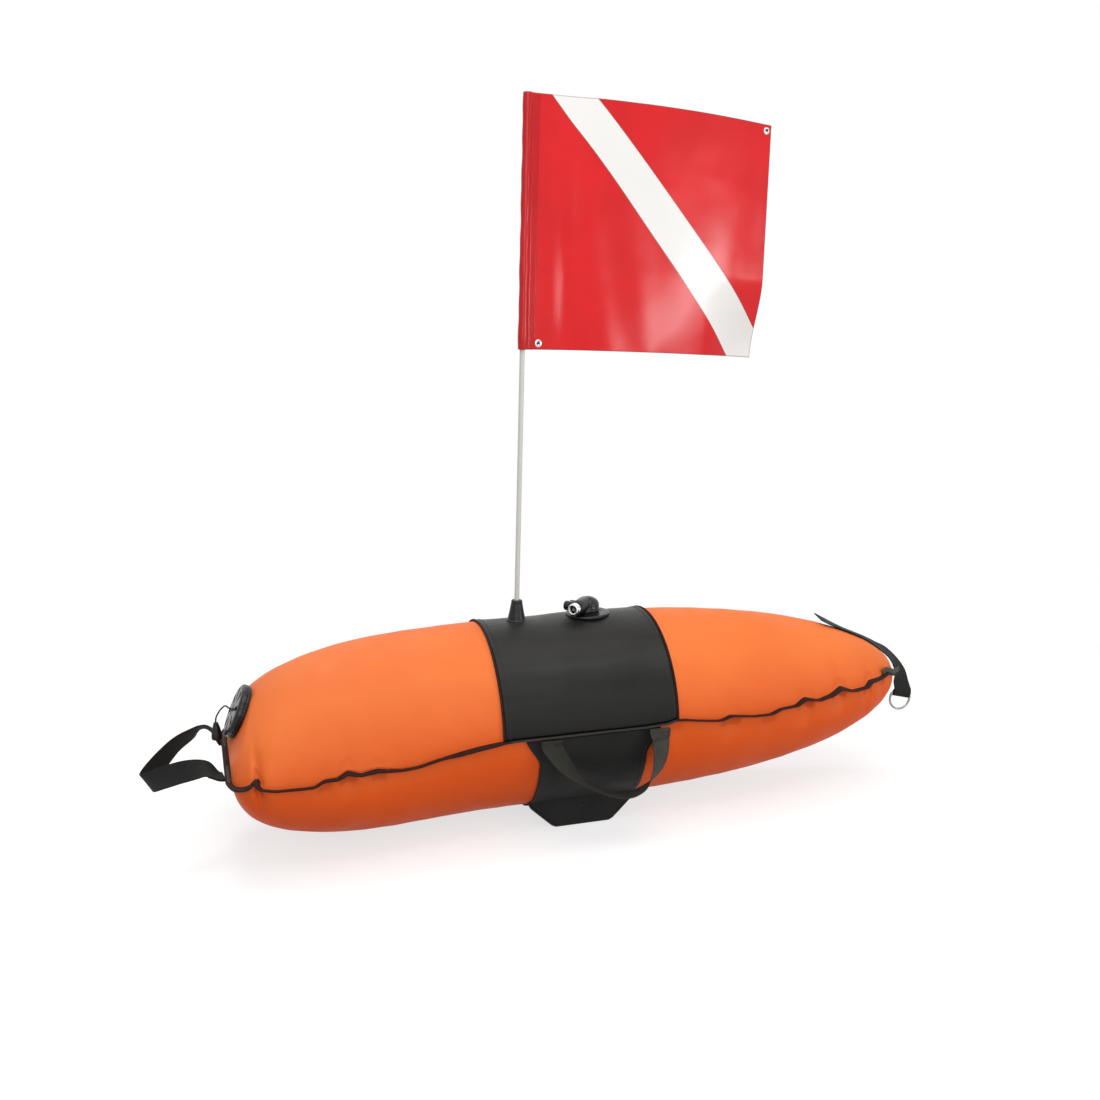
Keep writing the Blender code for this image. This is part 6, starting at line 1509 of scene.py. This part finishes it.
def sleeve_grid(rows):
    """The section carried up the pole, with small soft waves in the loop."""
    outline = sleeve_outline()
    z = np.linspace(FLAG_BOTTOM, FLAG_BOTTOM + FLAG_HEIGHT, rows)
    away = np.hypot(outline[:, 0], outline[:, 1])
    loose = np.clip((9.0 * MM - away) / (3.0 * MM), 0.0, 1.0)[None, :]
    wave = 0.25 * MM * np.sin(z * 160.0)[:, None] * loose + 0.2 * MM * np.sin(z * 71.0 + 1.0)[:, None] * loose
    flat = outline[None] * (1.0 + wave / away[None, :])[..., None]
    points = np.concatenate([flat, np.broadcast_to(z[:, None, None], flat[..., :1].shape)], axis=-1)
    return points, pairs(travelled(outline)[None, :], z[:, None] - FLAG_BOTTOM)


grid, uv = sleeve_grid(150)
sleeve = thicken(grid_piece("flag_sleeve_hem", moved(grid, FLAG), uv, flip=True), 0.5 * MM, 0.0)
settle(sleeve, "flag", "flag_hem", SHADED_HEM_VINYL, "flag_sleeve")
lid_profile = np.array([(0.0, -1.0), (5.6, -1.0), (5.7, -0.5), (5.6, -0.1), (0.0, -0.1)]) * MM
lid_profile[:, 1] += FLAG_BOTTOM + FLAG_HEIGHT
lid = lathe_piece("flag_sleeve_top", lid_profile, FLAG, 40, 0.2 * MM)
settle(lid, "flag", "flag_hem", SHADED_HEM_VINYL)
line = np.linspace(FLAG_BOTTOM + 2.0 * MM, FLAG_BOTTOM + FLAG_HEIGHT - 2.0 * MM, 200)
hem_rows = []
for side in (-1.0, 1.0):
    path = np.column_stack([np.full(200, 14.2 * MM), np.full(200, side * 1.25 * MM), line])
    hem_rows.append((moved(path, FLAG), FLAG[1] @ np.array([0.0, side, 0.0]), 3.2 * MM, 2.3 * MM, 0.22 * MM))
hem_thread = stitched("flag_hem_stitches", "flag", hem_rows)
hem_thread.data.materials[0] = SHADED_HEM_VINYL

# %% [markdown]
# ## Eyelets and rod
# An eyelet is a pressed metal ring, clamped round a hole from both sides and turned here from one profile.
# The rod is a straight plastic wire. Its path starts in the lower eyelet, passes behind the sheet with a small
# gap and ends in the upper eyelet.

# %% Eyelets and rod
eyelet_profile = np.array([(2.3, -0.2), (2.35, -0.8), (2.8, -1.15), (3.7, -1.0), (4.6, -0.55), (4.8, -0.30),
                           (3.2, -0.30), (3.2, 0.30), (4.8, 0.30), (4.6, 0.55), (3.7, 1.0), (2.8, 1.15),
                           (2.35, 0.8), (2.3, 0.2), (2.3, -0.2)]) * MM
for corner, place in EYELETS.items():
    eyelet = lathe_piece("eyelet_" + corner, eyelet_profile, place, 48, 0.15 * MM)
    settle(eyelet, "flag", "eyelet_metal", EYELET, "grommet_" + corner)


def rod_path():
    """From the lower eyelet's hook behind the sheet up to the upper eyelet's hook."""
    low, high = EYELETS["hoist_bottom"], EYELETS["fly_top"]
    share = np.linspace(0.0, 1.0, 14)[1:-1]
    edge = EYELET_EDGE / FLAG_HEIGHT
    along = LOW_ALONG + (FLAG_LENGTH - EYELET_EDGE - LOW_ALONG) * share
    back = flag_point(along, edge + (1.0 - 2.0 * edge) * share, 2.8 * MM)
    steps = np.array([-2.4, 0.0, 2.24])[:, None] * MM
    start = low[0] + steps * low[1][:, 2]
    end = high[0] + steps[::-1] * high[1][:, 2]
    return smooth_path(np.vstack([start, moved(back, FLAG), end]), 8)


rod_line = rod_path()
rod = swept_piece("flag_rod", rod_line, FLAG[1][:, 1] + 0.3 * FLAG[1][:, 2], circle(1.0 * MM, 14))
settle(rod, "flag", "inner_plastic", INNER_PLASTIC, "flag_stiffener")
print("rod length in mm:", round(1000.0 * travelled(rod_line)[-1]))

# %% [markdown]
# ## The inflator
# A flange clamps the saddle, the cover and the bladder together. On it a domed elbow swivels, with a chromed
# hose nipple at its end and a push button on its side that lets air out.

# %% Inflator
FLANGE_TOP = 2.6 * MM
BARREL_LENGTH, BARREL_HEIGHT, BUTTON_PLACE = 30.0 * MM, 11.0 * MM, 21.5 * MM
BARREL_WAY = np.array([math.cos(BARREL_TURN), math.sin(BARREL_TURN), 0.0])
BARREL_START = INFLATOR[0] + (FLANGE_TOP + BARREL_HEIGHT) * Z_AXIS
BARREL = place_frame(BARREL_START, BARREL_WAY, Z_AXIS)
NIPPLE = place_frame(BARREL_START + BARREL_LENGTH * BARREL_WAY, BARREL_WAY, Z_AXIS)
BOSS = place_frame(BARREL_START + BUTTON_PLACE * BARREL_WAY, np.cross(BARREL_WAY, Z_AXIS), Z_AXIS)


def ribbed_lathe(profile, place, sides, ribs, depth, low, high):
    """A turned grid whose radius is pulled in between ribs for heights from low to high."""
    points, faces, uv = lathe_arrays(profile, place, sides)
    local = (points - place[0]) @ place[1]
    radius = np.hypot(local[..., 0], local[..., 1])
    turn = np.arctan2(local[..., 1], local[..., 0])
    inside = s_curve((local[..., 2] - low) / (0.6 * MM)) * s_curve((high - local[..., 2]) / (0.6 * MM))
    groove = np.clip(0.5 - 1.6 * np.cos(ribs * turn), 0.0, 1.0) * inside * (radius > 0.6 * radius.max())
    local[..., :2] *= 1.0 - (depth * groove / np.maximum(radius, 1e-6))[..., None]
    return moved(local, place), faces, uv


flange_profile = np.array([(7.5, -14.0), (10.5, -14.0), (10.5, -5.0), (29.0, -5.0), (29.0, 1.1), (28.2, 2.2),
                           (26.6, 2.6), (19.5, 2.6), (18.9, 2.1), (17.6, 2.1), (17.0, 2.6), (7.5, 2.6),
                           (7.5, -14.0)]) * MM
flange = lathe_piece("inflator_flange_plate", flange_profile, INFLATOR, 96, 0.4 * MM)
settle(resting(flange, INFLATOR, 12.0 * MM), "hull", "valve_plastic", PLASTIC, "inflator_flange")
rise = np.linspace(0.0, 0.5 * math.pi, 14)[1:]
dome_profile = np.vstack([[(7.5, 4.0), (15.9, 4.0), (16.5, 4.8), (16.5, 7.0), (15.7, 7.6), (15.7, 12.5)],
                          np.column_stack([15.7 * np.cos(rise), 12.5 + 10.5 * np.sin(rise)]),
                          [(0.0, 18.0), (7.5, 15.0), (7.5, 4.0)]]) * MM
barrel_profile = np.array([(0.0, 0.0), (9.5, 0.0), (9.5, 19.0), (9.9, 20.0), (9.9, 27.5), (9.2, 29.4),
                           (8.4, 30.0), (4.6, 30.0), (4.6, 12.0), (0.0, 12.0)]) * MM
boss_profile = np.array([(0.0, 2.0), (8.0, 2.0), (8.0, 12.2), (7.6, 13.0), (6.5, 13.0), (6.5, 5.5),
                         (0.0, 5.5)]) * MM
turret = closed_piece("inflator_elbow", join_arrays([
    lathe_arrays(dome_profile, INFLATOR, 72), lathe_arrays(eased(barrel_profile, 0.5 * MM), BARREL, 56),
    lathe_arrays(eased(boss_profile, 0.4 * MM), BOSS, 48)]))
settle(turret, "inflator_head", "valve_plastic", PLASTIC, "inflator_turret")
nipple_profile = np.array([(4.6, 0.3), (7.8, 0.3), (7.8, 2.6), (6.7, 3.6), (6.5, 4.4), (6.5, 5.8), (7.4, 6.6),
                           (7.6, 7.4), (7.2, 8.4), (6.2, 8.8), (5.0, 8.6), (4.6, 7.6), (4.6, 0.3)]) * MM
nipple = lathe_piece("inflator_hose_nipple", nipple_profile, NIPPLE, 56, 0.3 * MM)
settle(nipple, "inflator_head", "chrome", CHROME, "inflator_nipple")
button_profile = np.array([(0.0, 12.2), (6.2, 12.2), (6.2, 19.4), (5.6, 20.6), (3.9, 21.0), (3.5, 20.6),
                           (0.0, 20.5)]) * MM
button = closed_piece("deflate_button_cap", ribbed_lathe(
    eased(button_profile, 0.5 * MM, 5), BOSS, 72, 12, 0.5 * MM, 14.0 * MM, 19.6 * MM))
settle(button, "deflate_button", "rubber", RUBBER, "inflator_button")
print("inflator height in mm:", round(dome_profile[:, 1].max() / MM, 1))

# %% [markdown]
# ## The dump valve
# The round valve at the tail lets air out when the float is squeezed or its toggle is pulled. A clamped flange
# carries a slotted cap, and under the cap a spring presses the poppet onto its seat.

# %% Dump valve
dump_profile = np.array([(10.5, -13.5), (20.0, -13.5), (20.0, 1.6), (33.4, 1.6), (34.0, 2.2), (34.0, 4.4),
                         (33.4, 5.0), (16.5, 5.0), (16.5, -11.3), (10.5, -11.3), (10.5, -13.5)]) * MM
dump_plate = closed_piece("dump_valve_flange", ribbed_lathe(
    eased(dump_profile, 0.3 * MM), DUMP, 192, 48, 0.35 * MM, 1.8 * MM, 4.8 * MM))
settle(dump_plate, "hull", "valve_plastic", PLASTIC, "dump_flange")
CAP_RINGS = np.array([(2.6, 12.5), (4.6, 12.5), (5.2, 12.1), (7.4, 12.1), (8.0, 12.5), (10.2, 12.5),
                      (12.5, 12.5), (14.5, 12.5), (18.0, 12.5), (22.0, 12.5), (26.0, 12.45), (28.5, 12.35),
                      (29.6, 12.2), (31.2, 11.8), (32.6, 11.0), (33.5, 9.9), (33.9, 8.6), (34.0, 7.2),
                      (34.0, 6.2), (34.0, 5.3)]) * MM
CAP_COLUMNS, CAP_SLOTS, SLOT_HALF = 192, 8, 0.165
SLOT_FIRST, SLOT_END = 6, 11       # the rings between which the slots lie


def cap_surface():
    """Outer skin of the cap as a polar grid of its rings: the rim is pinched in places, the slots are left
    out."""
    turn = np.linspace(0.0, 2.0 * math.pi, CAP_COLUMNS, endpoint=False)
    rim = (CAP_RINGS[:, 1:] < 10.2 * MM) & (CAP_RINGS[:, 1:] > 5.6 * MM)
    radius = CAP_RINGS[:, :1] * (1.0 - 0.010 * (np.abs(np.cos(12.0 * turn)) > 0.55) * rim)
    local = np.stack([radius * np.cos(turn), radius * np.sin(turn), CAP_RINGS[:, 1:] + 0.0 * turn], axis=-1)
    faces = grid_faces(len(CAP_RINGS), CAP_COLUMNS, False, True)
    row, column = faces[:, 0] // CAP_COLUMNS, faces[:, 0] % CAP_COLUMNS
    middle = ((column + 0.5) * CAP_SLOTS / CAP_COLUMNS) % 1.0
    slot = (np.abs(middle - 0.5) < SLOT_HALF) & (row >= SLOT_FIRST) & (row < SLOT_END)
    uv = pairs(turn[None, :] * CAP_RINGS[:, 0].max(), travelled(CAP_RINGS)[:, None])
    return moved(local, DUMP), faces[~slot][:, ::-1], uv


cap = link_mesh("dump_valve_cap", *cap_surface())
thicken(tidy_mesh(cap, False), 1.8 * MM)
settle(cap, "hull", "valve_plastic", PLASTIC, "dump_cover")
print("slots in the cap:", CAP_SLOTS)

# %% [markdown]
# ## The valve's spring
# A steel coil between the cap and the poppet keeps the valve shut. It is one wire swept along a helix.

# %% Valve spring
SPRING_RADIUS, SPRING_WIRE, SPRING_TURNS = 8.0 * MM, 0.6 * MM, 5.5
SPRING_LOW, SPRING_HIGH, DUMP_DRAW = -6.3 * MM, 9.7 * MM, 4.0 * MM


def spring_path(count):
    """A helix whose first and last turns lie flat: the height follows a smooth step of the turn."""
    share = np.linspace(0.0, 1.0, count)
    turn = 2.0 * math.pi * SPRING_TURNS * share
    middle = np.clip((share * SPRING_TURNS - 0.75) / (SPRING_TURNS - 1.5), 0.0, 1.0)
    climb = 0.08 * share + 0.92 * middle
    return np.stack([SPRING_RADIUS * np.cos(turn), SPRING_RADIUS * np.sin(turn),
                     SPRING_LOW + (SPRING_HIGH - SPRING_LOW) * climb], axis=1)


spring = swept_piece("dump_valve_spring", moved(spring_path(200), DUMP), DUMP[1][:, 2], circle(SPRING_WIRE, 10))
settle(spring, "hull", "stainless", STEEL, "dump_spring")
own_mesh(spring)
print("spring length in mm:", round((SPRING_HIGH - SPRING_LOW) / MM, 1))

# %% [markdown]
# ## Inside pieces
# The bladder follows the covers a few millimetres further in, so it puckers where they do. The other inside
# solids have the right shape already and only take a finish.

# %% Bladder and carried solids
BLADDER_INSET = 4.6 * MM
stations = long_stations(50, 20, 70)
for start, length, way in ((TAIL_START, TAIL_LENGTH, -1.0), (NOSE_START, NOSE_LENGTH, 1.0)):
    past = np.clip(way * (stations - start), 0.0, None)
    stations = stations - way * past * BLADDER_INSET / length
turn = np.linspace(0.0, 2.0 * math.pi, 97)
points = float_body(stations[:, None], turn[None, :], -BLADDER_INSET)
uv = pairs(stations[:, None], RADIUS * turn[None, :])
bladder = tidy_mesh(grid_piece("bladder_skin", points, uv, flip=True))
open_holes(bladder, [(MAST, SOCKET_HOLE), (INFLATOR, INFLATOR_HOLE), (DUMP, DUMP_HOLE)])
thicken(bladder, 0.8 * MM)
settle(bladder, "hull", "bladder_film", FILM, "air_bladder")
CARRIED = {"keel_weight": BALLAST, "mast_socket": INNER_PLASTIC, "mast_tip_cap": RUBBER,
           "inflator_gasket": RUBBER, "inflator_nut": INNER_PLASTIC, "inflator_valve_core": STEEL,
           "dump_gasket": RUBBER, "dump_nut": INNER_PLASTIC, "dump_seal": RUBBER, "dump_poppet": INNER_PLASTIC}
for name, finish in CARRIED.items():
    for material_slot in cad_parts[name].material_slots:
        material_slot.material = finish
print("carried solids:", len(CARRIED))
